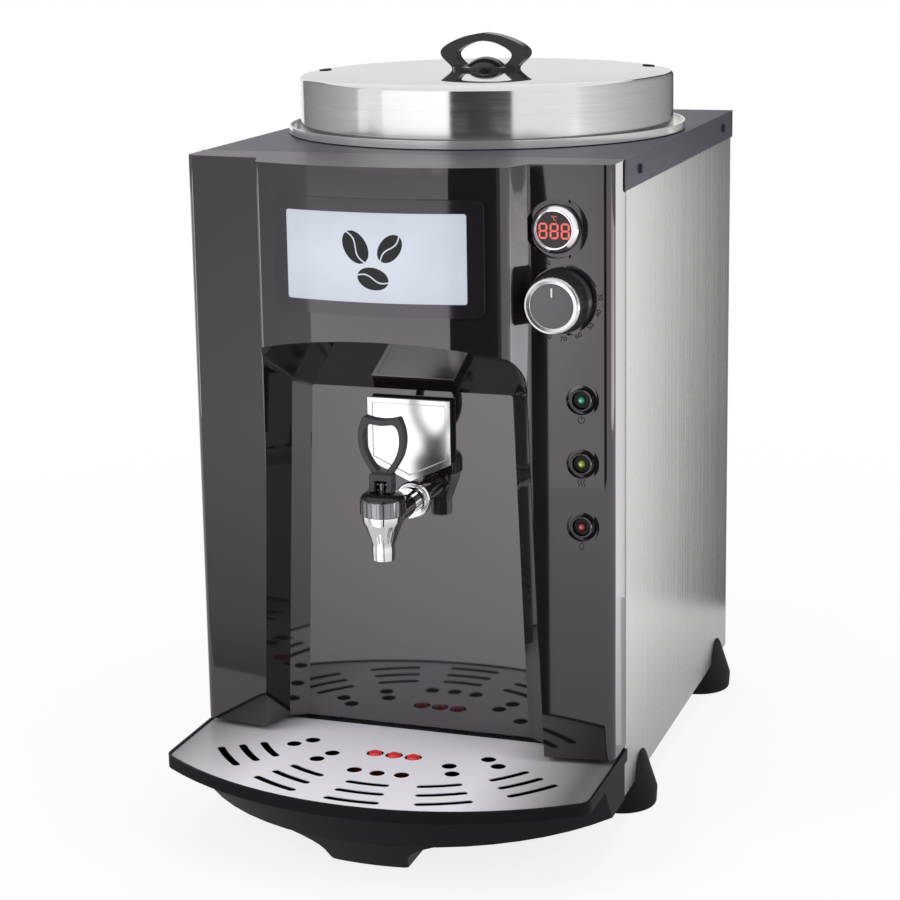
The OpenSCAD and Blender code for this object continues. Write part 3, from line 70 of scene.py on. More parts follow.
# ---- Studio -------------------------------------------------------------------------
# A plain pale floor in a pale room. Soft lamps light it. Grey, black and bright boards
# show only in the gloss, as the boards and soft boxes of a product studio do.
scene.view_settings.view_transform = "Standard"


def put(tree, kind, values=None, **settings):
    """Adds one node with its settings and its plain socket values."""
    node = tree.nodes.new(kind)
    for key, value in settings.items():
        setattr(node, key, value)
    for key, value in (values or {}).items():
        node.inputs[key].default_value = value
    return node


def sums(tree, operation, first, second):
    """One Math node. Each term is a number or another node's output."""
    node = put(tree, "ShaderNodeMath", operation=operation)
    for socket, term in zip(node.inputs, (first, second)):
        if isinstance(term, (int, float)):
            socket.default_value = term
        else:
            tree.links.new(term, socket)
    return node.outputs[0]


def between(tree, value, low, high, to_low, to_high):
    """Maps a value from one range to another, held at both ends."""
    node = put(tree, "ShaderNodeMapRange",
               {"From Min": low, "From Max": high, "To Min": to_low, "To Max": to_high})
    tree.links.new(value, node.inputs["Value"])
    return node.outputs["Result"]


def rays_to_eye(tree):
    """The kinds of ray, and 1 for what the camera sees straight or through a clear part."""
    kinds = put(tree, "ShaderNodeLightPath").outputs
    return kinds, sums(tree, "MAXIMUM", kinds["Is Camera Ray"], kinds["Is Transmission Ray"])


def bare_material(name):
    """A material with an empty tree, for a surface that glows or scatters plainly."""
    mat = bpy.data.materials.new(name)
    mat.use_nodes = True
    mat.node_tree.nodes.clear()
    return mat, mat.node_tree, put(mat.node_tree, "ShaderNodeOutputMaterial")


room_light, room_white = 0.62, 1.0  # on surfaces, and where it is seen or mirrored
room = bpy.data.worlds.new("pale room")
scene.world = room
room.use_nodes = True
tree = room.node_tree
kinds, seen = rays_to_eye(tree)
seen = sums(tree, "MAXIMUM", seen, kinds["Is Glossy Ray"])
tree.links.new(between(tree, seen, 0, 1, room_light, room_white),
               tree.nodes["Background"].inputs["Strength"])
tree.nodes["Background"].inputs["Color"].default_value = (1, 1, 1, 1)

half = 9.0  # of the floor's width
floor = added("floor", bpy.data.meshes.new("floor"))
floor.data.from_pydata([(-half, -half, 0), (half, -half, 0), (half, half, 0), (-half, half, 0)],
                       [], [(0, 1, 2, 3)])
pale, tree, out = bare_material("pale floor")
reach = put(tree, "ShaderNodeVectorMath", operation="LENGTH")
tree.links.new(put(tree, "ShaderNodeTexCoord").outputs["Object"], reach.inputs[0])
away = reach.outputs["Value"]
kinds, seen = rays_to_eye(tree)
glossy = kinds["Is Glossy Ray"]
# Near the urn the floor keeps its shadow. In the gloss it is also painted greyer there, as painted
# shade for that shadow. Far off it is white.
shadow_fades, gloss_fades, white_near, gloss_shade_near = (0.35, 1.2), (0.30, 1.1), 0.84, 0.42
white_share = sums(tree, "MULTIPLY", seen, between(tree, away, *shadow_fades, white_near, 1.0))
white_share = sums(tree, "MAXIMUM", white_share, glossy)
painted_gloss_shade = sums(tree, "MULTIPLY", glossy, between(tree, away, *gloss_fades, gloss_shade_near, 0.0))
matt = put(tree, "ShaderNodeBsdfDiffuse", {"Color": (0.86, 0.86, 0.86, 1)})
glow = put(tree, "ShaderNodeEmission", {"Color": (1, 1, 1, 1)})
tree.links.new(sums(tree, "SUBTRACT", 1.0, painted_gloss_shade), glow.inputs["Strength"])
both = put(tree, "ShaderNodeMixShader")
tree.links.new(white_share, both.inputs[0])
tree.links.new(matt.outputs[0], both.inputs[1])
tree.links.new(glow.outputs[0], both.inputs[2])
tree.links.new(both.outputs[0], out.inputs["Surface"])
floor.data.materials.append(pale)


def lamp(name, place, aim, size, power):
    """A soft lamp that lights surfaces. The boards, and not the lamps, show in the gloss."""
    data = bpy.data.lights.new(name, "AREA")
    data.shape = "RECTANGLE"
    data.size, data.size_y = size
    data.energy = power
    obj = added(name, data)
    obj.location = place
    obj.rotation_euler = (Vector(aim) - Vector(place)).to_track_quat("-Z", "Y").to_euler()
    obj.visible_glossy = False


lamp("key lamp", (-1.9, -1.7, 2.0), (0, 0, 0.3), (1.6, 1.4), 34)
lamp("fill lamp", (2.4, -0.4, 1.4), (0, 0, 0.3), (1.4, 1.4), 20)
lamp("top lamp", (0.1, 0.5, 2.4), (0, 0.05, 0.4), (1.6, 1.6), 16)

card, tree, out = bare_material("studio card")
shade = put(tree, "ShaderNodeAttribute", attribute_name="shade")
light = put(tree, "ShaderNodeEmission", {"Color": (1, 1, 1, 1)})
tree.links.new(shade.outputs["Fac"], light.inputs["Strength"])
tree.links.new(light.outputs[0], out.inputs["Surface"])


def sheet(name, corners, shades):
    """A board of one strip. corners come in pairs, with one brightness for each corner."""
    mesh = bpy.data.meshes.new(name)
    rows = range(len(corners) // 2 - 1)
    mesh.from_pydata(corners, [], [(2 * r, 2 * r + 1, 2 * r + 3, 2 * r + 2) for r in rows])
    tone = mesh.attributes.new("shade", "FLOAT", "POINT")
    tone.data.foreach_set("value", shades)
    mesh.materials.append(card)
    obj = added(name, mesh)
    obj.visible_camera = False
    obj.visible_diffuse = False
    obj.visible_shadow = False


def board(name, start, end, levels):
    """An upright board from one floor point to another. levels are its rows from the foot
    up: a height, and the brightness at the start and at the end."""
    sheet(name, [(*point, height) for height, *_ in levels for point in (start, end)],
          [value for _, *pair in levels for value in pair])


board("grey board, left", (-0.60, -0.40), (-0.25, -0.40),
      [(0, 0.26, 0.30), (0.06, 0.42, 0.56), (0.24, 0.60, 0.84), (0.483, 0.46, 0.66)])
board("bright board, crown", (-0.25, -0.40), (0.072, -0.40),
      [(0.29, 1.75, 1.75), (0.37, 1.6, 1.65), (0.483, 0.78, 0.95)])
board("bright board, alcove", (-0.25, -0.40), (0.012, -0.40),
      [(0, 1.1, 1.35), (0.08, 1.35, 1.65), (0.29, 1.6, 2.1)])
board("black strip", (0.073, -0.40), (0.104, -0.40), [(0, 0.01, 0.01), (0.483, 0.02, 0.02)])
board("bright board, pillar", (0.03, -1.19), (0.14, -1.19),
      [(0, 1.3, 1.15), (0.2, 1.75, 1.25), (0.412, 1.3, 1.0)])
board("black board, crown", (0.142, -1.19), (0.47, -1.19), [(0, 0.02, 0.02), (0.412, 0.02, 0.02)])
board("black board, lid", (-0.15, -2.2), (1.44, -2.2), [(0.285, 0.04, 0.10), (1.4, 0.04, 0.10)])
board("bright board, lid", (-2.4, -2.2), (-0.15, -2.2), [(0.285, 1.3, 1.42), (1.4, 1.3, 1.42)])
board("bright board, left", (-1.50, -0.55), (-1.25, -1.00), [(0, 3.5, 3.5), (0.34, 3.5, 3.5)])
board("grey board, left rear", (-1.25, -0.58), (-0.95, 0.85),
      [(0.36, 0.60, 0.20), (1.2, 0.60, 0.20)])
board("grey board, right rear", (1.25, -0.33), (-0.05, 1.32),
      [(0.36, 0.90, 0.0), (1.2, 0.90, 0.0)])
board("bright board, right", (1.50, -0.55), (1.50, 0.60),
      [(0, 4.0, 4.0), (0.1, 3.6, 3.6), (0.29, 2.4, 2.4), (0.34, 2.0, 2.0)])
board("graded board, side", (0.17, 0.45), (0.309, 0.45),
      [(0, 0, 0.36), (0.15, 0, 0.54), (0.46, 0.02, 0.74)])
board("bright board, side", (0.309, 0.45), (0.42, 0.45), [(0, 1.6, 1.9), (0.46, 1.8, 2.1)])
board("grey board, back", (-1.7, 2.2), (1.4, 2.2), [(0.5, 0.78, 0.80), (1.5, 0.86, 0.86)])
sheet("bright sheet on the floor",
      [(0.210, 0.05, 0.002), (0.42, 0.05, 0.002), (0.313, 0.449, 0.002), (0.42, 0.449, 0.002)],
      [0.9, 0.9, 1.6, 1.8])

# ---- Casing sheets ------------------------------------------------------------------
# The side panels are single sheets of brushed stainless steel with folded edges. The base,
# back and inner front are zinc-coated sheet, cut and folded, and spot-welded or screwed.


def effect(name, inputs, outputs):
    """A node group for an effect that several finishes share, with its two end nodes."""
    group = bpy.data.node_groups.new(name, "ShaderNodeTree")
    for label, kind, value in inputs:
        socket = group.interface.new_socket(label, in_out="INPUT", socket_type=kind)
        if value is not None:
            socket.default_value = value
    for label in outputs:
        group.interface.new_socket(label, in_out="OUTPUT", socket_type="NodeSocketFloat")
    return group, group.nodes.new("NodeGroupInput"), group.nodes.new("NodeGroupOutput")


def about_middle(tree, value, swing, base):
    """Turns a noise round 0.5 into a value that swings by so much round a base."""
    offset = sums(tree, "SUBTRACT", value, 0.5)
    return sums(tree, "ADD", sums(tree, "MULTIPLY", offset, swing), base)


def brushed_lines():
    """Long fine scratches. They run along the direction in which the vector is slow."""
    g, start, end = effect("brushed lines", [("Vector", "NodeSocketVector", None),
                                             ("Contrast", "NodeSocketFloat", 0.2),
                                             ("Roughness", "NodeSocketFloat", 0.3)],
                           ("Shade", "Roughness", "Height"))
    fine = put(g, "ShaderNodeTexNoise", {"Scale": 1.0, "Detail": 3.0, "Roughness": 0.7})
    broad = put(g, "ShaderNodeTexNoise", {"Scale": 0.13, "Detail": 2.0, "Roughness": 0.5})
    mixed = put(g, "ShaderNodeMix", {"Factor": 0.4}, data_type="FLOAT")
    for noise, socket in ((fine, "A"), (broad, "B")):
        g.links.new(start.outputs["Vector"], noise.inputs["Vector"])
        g.links.new(noise.outputs["Fac"], mixed.inputs[socket])
    lines = mixed.outputs["Result"]
    g.links.new(about_middle(g, lines, start.outputs["Contrast"], 1.0), end.inputs["Shade"])
    g.links.new(about_middle(g, lines, 0.25, start.outputs["Roughness"]), end.inputs["Roughness"])
    g.links.new(lines, end.inputs["Height"])
    return g


BRUSHED = brushed_lines()


def plain_finish(name, colour, roughness, **sockets):
    """A Principled finish. Every plain value stands on the shader's own socket."""
    mat = bpy.data.materials.new(name)
    mat.use_nodes = True
    shader = mat.node_tree.nodes["Principled BSDF"]
    shader.inputs["Base Color"].default_value = (*colour, 1)
    shader.inputs["Roughness"].default_value = roughness
    for label, value in sockets.items():
        shader.inputs[label.replace("_", " ")].default_value = value
    return mat, mat.node_tree, shader


def fixed_to_piece(tree, texture):
    """Places a texture by the piece's own coordinates, so that it moves with the piece."""
    place = put(tree, "ShaderNodeTexCoord")
    tree.links.new(place.outputs["Object"], texture.inputs["Vector"])


def tinted(tree, colour, shade, shader, label="Base Color"):
    """A plain colour or another node's, made lighter and darker by a shade."""
    tint = put(tree, "ShaderNodeMix", {"Factor": 1.0}, data_type="RGBA", blend_type="MULTIPLY")
    if isinstance(colour, tuple):
        tint.inputs["A"].default_value = (*colour, 1)
    else:
        tree.links.new(colour, tint.inputs["A"])
    tree.links.new(shade, tint.inputs["B"])
    tree.links.new(tint.outputs["Result"], shader.inputs[label])


def relief(tree, height, shader, strength, distance):
    """Turns a height into small dents in the surface."""
    bump = put(tree, "ShaderNodeBump", {"Strength": strength, "Distance": distance})
    tree.links.new(height, bump.inputs["Height"])
    tree.links.new(bump.outputs["Normal"], shader.inputs["Normal"])


def brushed_steel(name, colour, roughness, stretch, contrast, dents, metallic=1.0):
    """Brushed sheet. stretch is how fine the lines are along X, Y and Z."""
    mat, tree, shader = plain_finish(name, colour, roughness, Metallic=metallic)
    scale = put(tree, "ShaderNodeMapping", {"Scale": stretch})
    fixed_to_piece(tree, scale)
    lines = put(tree, "ShaderNodeGroup", {"Contrast": contrast, "Roughness": roughness},
                node_tree=BRUSHED)
    tree.links.new(scale.outputs["Vector"], lines.inputs["Vector"])
    tinted(tree, colour, lines.outputs["Shade"], shader)
    tree.links.new(lines.outputs["Roughness"], shader.inputs["Roughness"])
    relief(tree, lines.outputs["Height"], shader, strength=dents, distance=0.0002)
    return mat, tree, shader, scale


def smooth_by_angle():
    """Shades faces smooth and keeps edges sharper than 30 degrees crisp."""
    g = bpy.data.node_groups.new("smooth by angle", "GeometryNodeTree")
    g.interface.new_socket("Geometry", in_out="INPUT", socket_type="NodeSocketGeometry")
    g.interface.new_socket("Geometry", in_out="OUTPUT", socket_type="NodeSocketGeometry")
    start, end = g.nodes.new("NodeGroupInput"), g.nodes.new("NodeGroupOutput")
    angle = g.nodes.new("GeometryNodeInputMeshEdgeAngle")
    sharp = put(g, "FunctionNodeCompare", {"B": radians(30)}, operation="LESS_EQUAL")
    faces = put(g, "GeometryNodeSetShadeSmooth")
    edges = put(g, "GeometryNodeSetShadeSmooth", domain="EDGE")
    g.links.new(start.outputs[0], faces.inputs["Geometry"])
    g.links.new(faces.outputs["Geometry"], edges.inputs["Geometry"])
    g.links.new(angle.outputs["Unsigned Angle"], sharp.inputs["A"])
    g.links.new(sharp.outputs["Result"], edges.inputs["Shade Smooth"])
    g.links.new(edges.outputs["Geometry"], end.inputs[0])
    return g


SMOOTH = smooth_by_angle()


def soften(piece, edge, segments):
    """Joins the faces of a solid and rounds its edges by a little, as a maker breaks them."""
    for label in ("custom_normal", "sharp_edge", "sharp_face"):
        extra = piece.data.attributes.get(label)
        if extra:
            piece.data.attributes.remove(extra)
    weld = piece.modifiers.new("joined faces", "WELD")
    weld.merge_threshold = 0.00001
    plain = piece.modifiers.new("plain faces", "DECIMATE")
    plain.decimate_type = "DISSOLVE"
    plain.angle_limit = radians(0.3)
    shading = piece.modifiers.new("smooth by angle", "NODES")
    shading.node_group = SMOOTH
    if edge:
        broken = piece.modifiers.new("broken edges", "BEVEL")
        broken.width = edge
        broken.segments = segments
        broken.limit_method = "ANGLE"
        broken.angle_limit = radians(32)
        broken.harden_normals = True
        broken.miter_outer = "MITER_ARC"
        broken.use_clamp_overlap = True


def dress(names, finish, edge=0.0, segments=2):
    """Gives solids of the frame their finish and broken edges."""
    for name in names.split():
        piece = nodes[name]
        piece.data.materials.clear()
        piece.data.materials.append(finish)
        soften(piece, edge, segments)


side_steel, *_ = brushed_steel("vertically brushed steel", (0.51, 0.51, 0.505), 0.27,
                               stretch=(1500, 1500, 7), contrast=0.07, dents=0.02)
dress("left_side_panel right_side_panel", side_steel, edge=0.0004)
zinc = (0.52, 0.53, 0.54)
zinc_sheet, tree, shader = plain_finish("zinc-coated sheet", zinc, 0.42, Metallic=1.0)
spangle = put(tree, "ShaderNodeTexVoronoi", {"Scale": 90.0}, feature="F1")
fixed_to_piece(tree, spangle)
flakes = spangle.outputs["Color"]
tinted(tree, zinc, between(tree, flakes, 0, 1, 0.82, 1.08), shader)
tree.links.new(between(tree, flakes, 0, 1, 0.34, 0.52), shader.inputs["Roughness"])
dress("base_plate back_panel front_sheet tank_stand", zinc_sheet, edge=0.0003)

# ---- Top cover and screws -----------------------------------------------------------
# The top cover is folded steel with a satin powder coat in dark violet-grey. Black pan-head screws
# hold its lips. A black strip at each lip's front end is painted shade: it stands for the shaded
# gap between the lip and the moulding.


def fine_grain():
    """The small unevenness of a coat or a moulded skin."""
    g, start, end = effect("fine grain", [("Scale", "NodeSocketFloat", 900.0),
                                          ("Roughness", "NodeSocketFloat", 0.4),
                                          ("Spread", "NodeSocketFloat", 0.08)],
                           ("Shade", "Roughness", "Height"))
    grain = put(g, "ShaderNodeTexNoise", {"Detail": 2.0, "Roughness": 0.6})
    cloud = put(g, "ShaderNodeTexNoise", {"Scale": 14.0, "Detail": 3.0, "Roughness": 0.55})
    fixed_to_piece(g, grain)
    fixed_to_piece(g, cloud)
    g.links.new(start.outputs["Scale"], grain.inputs["Scale"])
    patches = cloud.outputs["Fac"]
    g.links.new(between(g, patches, 0.3, 0.7, 0.92, 1.08), end.inputs["Shade"])
    g.links.new(about_middle(g, patches, start.outputs["Spread"], start.outputs["Roughness"]),
                end.inputs["Roughness"])
    g.links.new(grain.outputs["Fac"], end.inputs["Height"])
    return g


def worn_edges():
    """A mask that is 1 along outer edges, where handling rubs a coat thin."""
    g, start, end = effect("worn edges", [("Width", "NodeSocketFloat", 0.0008)], ("Mask",))
    rounded = put(g, "ShaderNodeBevel", samples=4)
    real = put(g, "ShaderNodeNewGeometry")
    match = put(g, "ShaderNodeVectorMath", operation="DOT_PRODUCT")
    g.links.new(start.outputs["Width"], rounded.inputs["Radius"])
    g.links.new(rounded.outputs["Normal"], match.inputs[0])
    g.links.new(real.outputs["Normal"], match.inputs[1])
    g.links.new(between(g, match.outputs["Value"], 0.88, 0.995, 1, 0), end.inputs["Mask"])
    return g


GRAIN = fine_grain()
WORN = worn_edges()


def source(node, label):
    """The output that feeds a node's socket so far."""
    return node.inputs[label].links[0].from_socket


def covered(tree, shader, colour, mask):
    """Lays another colour over a finish's own where the mask is 1."""
    over = put(tree, "ShaderNodeMix", {"B": (*colour, 1)}, data_type="RGBA")
    tree.links.new(mask, over.inputs["Factor"])
    tree.links.new(source(shader, "Base Color"), over.inputs["A"])
    tree.links.new(over.outputs["Result"], shader.inputs["Base Color"])


def grained(name, colour, roughness, scale=900.0, spread=0.10, bump=0.05, depth=0.0001,
            wear=None, **sockets):
    """A finish with a fine grain, and with lighter worn edges where wear gives their colour."""
    mat, tree, shader = plain_finish(name, colour, roughness, **sockets)
    grain = put(tree, "ShaderNodeGroup", {"Scale": scale, "Roughness": roughness, "Spread": spread},
                node_tree=GRAIN)
    tinted(tree, colour, grain.outputs["Shade"], shader)
    tree.links.new(grain.outputs["Roughness"], shader.inputs["Roughness"])
    relief(tree, grain.outputs["Height"], shader, bump, depth)
    if wear:
        edges = put(tree, "ShaderNodeGroup", node_tree=WORN)
        covered(tree, shader, wear, edges.outputs["Mask"])
    return mat


violet_coat = grained("satin violet-grey coat", (0.042, 0.038, 0.056), 0.40, scale=1500,
                      wear=(0.13, 0.12, 0.15), Specular_IOR_Level=0.15)
dress("top_cover", violet_coat, edge=0.0006)
black_screw = grained("black oxide", (0.004, 0.004, 0.005), 0.45, scale=2500, spread=0.12,
                      wear=(0.03, 0.03, 0.03), Specular_IOR_Level=0.2)
dress("casing_screws", black_screw, edge=0.0003)
black_plastic = grained("black plastic", (0.007, 0.007, 0.008), 0.40, scale=1500, spread=0.12,
                        bump=0.08, Specular_IOR_Level=0.25)


def new_piece(name, mesh_data, finish, body, smooth=True):
    """Makes a piece from a bmesh, gives it its finish and hangs it on its body."""
    bmesh.ops.remove_doubles(mesh_data, verts=mesh_data.verts, dist=0.0000005)
    bmesh.ops.recalc_face_normals(mesh_data, faces=mesh_data.faces)
    for face in mesh_data.faces:
        face.smooth = smooth
    mesh = bpy.data.meshes.new(name)
    mesh_data.to_mesh(mesh)
    mesh_data.free()
    mesh.materials.append(finish)
    piece = added(name, mesh)
    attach(piece, body)


def shaded_gap_strips(depth, height, thick, rear, foot, side, around=24):
    """Upright strips with round ends, one at each side, as a closed form of rounded section."""
    section = ((0, 0), (0, 0.6), (0.12, 0.9), (0.3, 1))  # inset and thickness, as shares
    bm = bmesh.new()
    for sign in (-1, 1):
        rings = []
        for inset, out in section:
            r = depth / 2 * (1 - inset)
            ring = []
            for step in range(around):
                a = 2 * pi * (step + 0.5) / around
                lift = (height - depth) / 2 * (1 if sin(a) > 0 else -1)
                ring.append(bm.verts.new((sign * (side + thick * out),
                                          rear - depth / 2 + r * cos(a),
                                          foot + height / 2 + lift + r * sin(a))))
            rings.append(ring)
        for low, high in zip(rings, rings[1:]):
            for k in range(around):
                bm.faces.new((low[k], low[k - 1], high[k - 1], high[k]))
        bm.faces.new(rings[0])
        bm.faces.new(rings[-1])
    return bm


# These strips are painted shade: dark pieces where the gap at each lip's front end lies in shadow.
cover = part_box("top_cover")
strips = shaded_gap_strips(depth=0.0065, height=0.0235, thick=0.0010, rear=cover[0].y - 0.0025,
                       foot=cover[1].z - 0.0232, side=0.1649)
new_piece("cover_end_shade_strips", strips, black_plastic, "urn", smooth=False)

# ---- Feet ---------------------------------------------------------------------------
# Four moulded rubber cones carry the urn. A zinc-plated bolt holds each one up to the
# base plate.
foot_rubber = grained("matte rubber", (0.007, 0.007, 0.008), 0.6, scale=1200, spread=0.14,
                      bump=0.12, depth=0.0002, wear=(0.02, 0.02, 0.021), Specular_IOR_Level=0.12)
dress("feet", foot_rubber, edge=0.0008, segments=3)
zinc_plate = grained("zinc plating", (0.55, 0.55, 0.56), 0.33, scale=2000, spread=0.15,
                     Metallic=1.0)
dress("foot_bolts moulding_screws", zinc_plate, edge=0.0002)

# ---- Front moulding -----------------------------------------------------------------
# One injection-moulded shell in glossy violet-charcoal: a crowned middle between two
# pillars, with a deep tapered alcove. Its hard skin mirrors the studio.
violet_mirror, clear_skin = (0.98, 0.91, 1.0, 1), 0.35
charcoal = grained("glossy charcoal", (0.011, 0.0085, 0.0115), 0.045, scale=60, spread=0.02,
                   bump=0.010, Specular_IOR_Level=1.0, Specular_Tint=violet_mirror,
                   Coat_Weight=clear_skin, Coat_Roughness=0.01)


def opened(finish):
    """A finish's node tree and its shader, for adding to it."""
    return finish.node_tree, finish.node_tree.nodes["Principled BSDF"]


def axes(tree, kind, label):
    """The X, Y and Z of a vector that a node of this kind puts out."""
    parts = put(tree, "ShaderNodeSeparateXYZ")
    tree.links.new(put(tree, kind).outputs[label], parts.inputs[0])
    return parts.outputs


tree, shader = opened(charcoal)
at = axes(tree, "ShaderNodeTexCoord", "Object")
facing = axes(tree, "ShaderNodeNewGeometry", "Normal")
# The faces on top are moulded matt, almost without the clear skin of the front.
upward, matt_share, matt_skin = (0.75, 0.95), 9.0, 0.05
rougher = between(tree, facing["Z"], *upward, 1.0, matt_share)
tree.links.new(sums(tree, "MULTIPLY", source(shader, "Roughness"), rougher),
               shader.inputs["Roughness"])
tree.links.new(between(tree, facing["Z"], *upward, clear_skin, matt_skin),
               shader.inputs["Coat Weight"])
# The step from the crown to the right pillar is eased: its normal leans a little forward.
step_starts, step_ends, sideways, forward = (0.086, 0.090), (0.106, 0.110), (0.25, 0.80), -0.36
on_step = sums(tree, "MULTIPLY", between(tree, at["X"], *step_starts, 0, 1),
               between(tree, at["X"], *step_ends, 1, 0))
lean = sums(tree, "MULTIPLY", on_step, between(tree, facing["X"], *sideways, 0, forward))
tilt = put(tree, "ShaderNodeCombineXYZ")
eased = put(tree, "ShaderNodeVectorMath", operation="ADD")
unit = put(tree, "ShaderNodeVectorMath", operation="NORMALIZE")
tree.links.new(lean, tilt.inputs["Y"])
tree.links.new(source(shader, "Normal"), eased.inputs[0])
tree.links.new(tilt.outputs[0], eased.inputs[1])
tree.links.new(eased.outputs[0], unit.inputs[0])
tree.links.new(unit.outputs[0], shader.inputs["Normal"])
dress("front_moulding", charcoal, edge=0.0009, segments=3)
flat_faces = nodes["front_moulding"].modifiers.new("flat faces stay flat", "WEIGHTED_NORMAL")
flat_faces.keep_sharp = True
flat_faces.weight = 100

# ---- Lit panel ----------------------------------------------------------------------
# A printed acrylic sheet over a lamp board, held in a raised frame of the moulding's
# plastic. The print is a generic group of coffee beans in black ink.
frame_gloss = grained("frame plastic", (0.013, 0.011, 0.014), 0.10, scale=60, spread=0.04,
                      bump=0.02, Specular_IOR_Level=1.0, Specular_Tint=violet_mirror)
dress("panel_frame", frame_gloss, edge=0.0007, segments=3)


def seen_from(tree, point, weights):
    """A surface's place seen from a point, and how far off it is, with a weight for each axis."""
    moved = put(tree, "ShaderNodeMapping", {"Location": -point})
    weighed = put(tree, "ShaderNodeVectorMath", {1: weights}, operation="MULTIPLY")
    reach = put(tree, "ShaderNodeVectorMath", operation="LENGTH")
    fixed_to_piece(tree, moved)
    tree.links.new(moved.outputs["Vector"], weighed.inputs[0])
    tree.links.new(weighed.outputs[0], reach.inputs[0])
    return moved.outputs["Vector"], reach.outputs["Value"]


lit, tree, shader = plain_finish("lit acrylic", (0.30, 0.32, 0.36), 0.12, Emission_Strength=0.42,
                                 Specular_IOR_Level=0.4)
low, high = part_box("lit_panel")
panel_middle = (low + high) / 2
_, from_middle = seen_from(tree, panel_middle, (2 / (high.x - low.x), 0, 2 / (high.z - low.z)))
cloud = put(tree, "ShaderNodeTexNoise", {"Scale": 26.0, "Detail": 1.0, "Roughness": 0.4})
fixed_to_piece(tree, cloud)
falloff = between(tree, from_middle, 0.25, 1.35, 1.04, 0.80)
patchy = between(tree, cloud.outputs["Fac"], 0.3, 0.7, 0.94, 1.05)
tinted(tree, (0.86, 0.92, 1.05), sums(tree, "MULTIPLY", falloff, patchy), shader, "Emission Color")
dress("lit_panel", lit, edge=0.0003)
board_green = grained("circuit board", (0.02, 0.11, 0.05), 0.4, scale=1500)
dress("light_board control_board", board_green, edge=0.0002)


def faces_of(node):
    """A node's faces, for finding where a straight line meets them."""
    mesh = nodes[node].data
    return BVHTree.FromPolygons([v.co for v in mesh.vertices], [p.vertices for p in mesh.polygons])


def front_of(node):
    """A function that says how far back a node's front surface lies behind a point (x, z)."""
    faces = faces_of(node)
    ahead_of_all, to_the_back = -0.5, Vector((0, 1, 0))

    def depth(x, z):
        place, *_ = faces.ray_cast(Vector((x, ahead_of_all, z)), to_the_back)
        return place.y
    return depth


def laid(patches, surface, lift=0.0001, sink=0.00005):
    """Thin ink or bars laid on a front surface. A patch is rows of (x, z) points, and
    closed when its last row meets its first."""
    bm = bmesh.new()
    for rows, closed in patches:
        layers = [[[bm.verts.new((x, surface(x, z) + off, z)) for x, z in row] for row in rows]
                  for off in (-lift, sink)]
        count, wide = len(rows), len(rows[0])
        for r in range(count if closed else count - 1):
            s = (r + 1) % count
            for c in range(wide - 1):
                for layer in layers:
                    bm.faces.new((layer[r][c], layer[r][c + 1], layer[s][c + 1], layer[s][c]))
            for c in (0, wide - 1):
                bm.faces.new((layers[0][r][c], layers[0][s][c], layers[1][s][c], layers[1][r][c]))
        if not closed:
            for r in (0, count - 1):
                for c in range(wide - 1):
                    bm.faces.new((layers[0][r][c], layers[0][r][c + 1],
                                  layers[1][r][c + 1], layers[1][r][c]))
    return bm


def bean(cx, cz, length, width, tilt, crease=0.0011, rows=22):
    """A coffee bean seen from above: two halves with a curved crease between them."""
    tip, bend, fullest, thinnest = 0.985, 0.11, 0.8, 0.0002
    halves = []
    for side in (-1, 1):
        half = []
        for r in range(rows + 1):
            v = -tip + 2 * tip * r / rows
            edge = width / 2 * sqrt(1 - v * v)
            near = side * crease / 2 + min(bend * width * sin(pi * v), fullest * edge)
            far = side * edge
            if side * (far - near) < thinnest:
                far = near + side * thinnest
            line = [near + (far - near) * k / 4 for k in range(5)]
            half.append([(cx + u * cos(tilt) - v * length / 2 * sin(tilt),
                          cz + u * sin(tilt) + v * length / 2 * cos(tilt)) for u in line])
        halves.append((half, False))
    return halves


beans = []
for right, up, length, width, angle in ((-0.0125, 0.0075, 0.026, 0.0175, 32),
                                        (0.0135, 0.0070, 0.023, 0.0155, -38),
                                        (0.0005, -0.0150, 0.024, 0.0160, 78)):
    beans += bean(right, panel_middle.z + up, length, width, radians(angle))
ink = grained("black ink", (0.012, 0.012, 0.013), 0.5, bump=0.03, Specular_IOR_Level=0.3)
new_piece("bean_print", laid(beans, front_of("lit_panel")), ink, "urn",
          smooth=False)

# ---- Badge --------------------------------------------------------------------------
# A bare polished shield with a raised border. A black moulded backing holds it a little
# off the alcove's back wall.
polished = grained("polished chrome", (0.86, 0.86, 0.88), 0.04, scale=500, spread=0.03, bump=0.008,
                   depth=0.00005, Metallic=1.0)
badge_bright = grained("bright badge plate", (0.66, 0.66, 0.67), 0.19, scale=500, spread=0.05,
                       bump=0.01, depth=0.00005, Metallic=1.0)
dress("badge_plate", badge_bright, edge=0.0005, segments=3)
dress("badge_backing", black_plastic, edge=0.0004)

# ---- Display ------------------------------------------------------------------------
# A round thermometer in a recess of the right pillar, with a chromed bezel, a black case
# and a dark lens over red seven-bar digits.
dress("display_bezel", polished, edge=0.0003)
gloss_black = grained("gloss black case", (0.008, 0.008, 0.009), 0.10, spread=0.04, bump=0.02)
dress("display_case", gloss_black, edge=0.0003)
smoke_brown = (0.030, 0.027, 0.029)
smoked, tree, shader = plain_finish("smoked lens", smoke_brown, 0.10, Specular_IOR_Level=0.35)
smoke = put(tree, "ShaderNodeGroup", node_tree=GRAIN)
tinted(tree, smoke_brown, smoke.outputs["Shade"], shader)
dress("display_window", smoked, edge=0.0003)


def bar(x0, z0, x1, z1, thick, pointed=0.06):
    """One bar of a digit: a slim six-sided form with pointed ends."""
    along = Vector((x1 - x0, z1 - z0))
    length = along.length
    along.normalize()
    beside = Vector((-along.y, along.x)) * thick / 2
    rows = []
    for at, wide in ((0, pointed), (thick / 2, 1), (length - thick / 2, 1), (length, pointed)):
        centre = Vector((x0, z0)) + along * at
        rows.append([tuple(centre - beside * wide), tuple(centre + beside * wide)])
    return rows, False


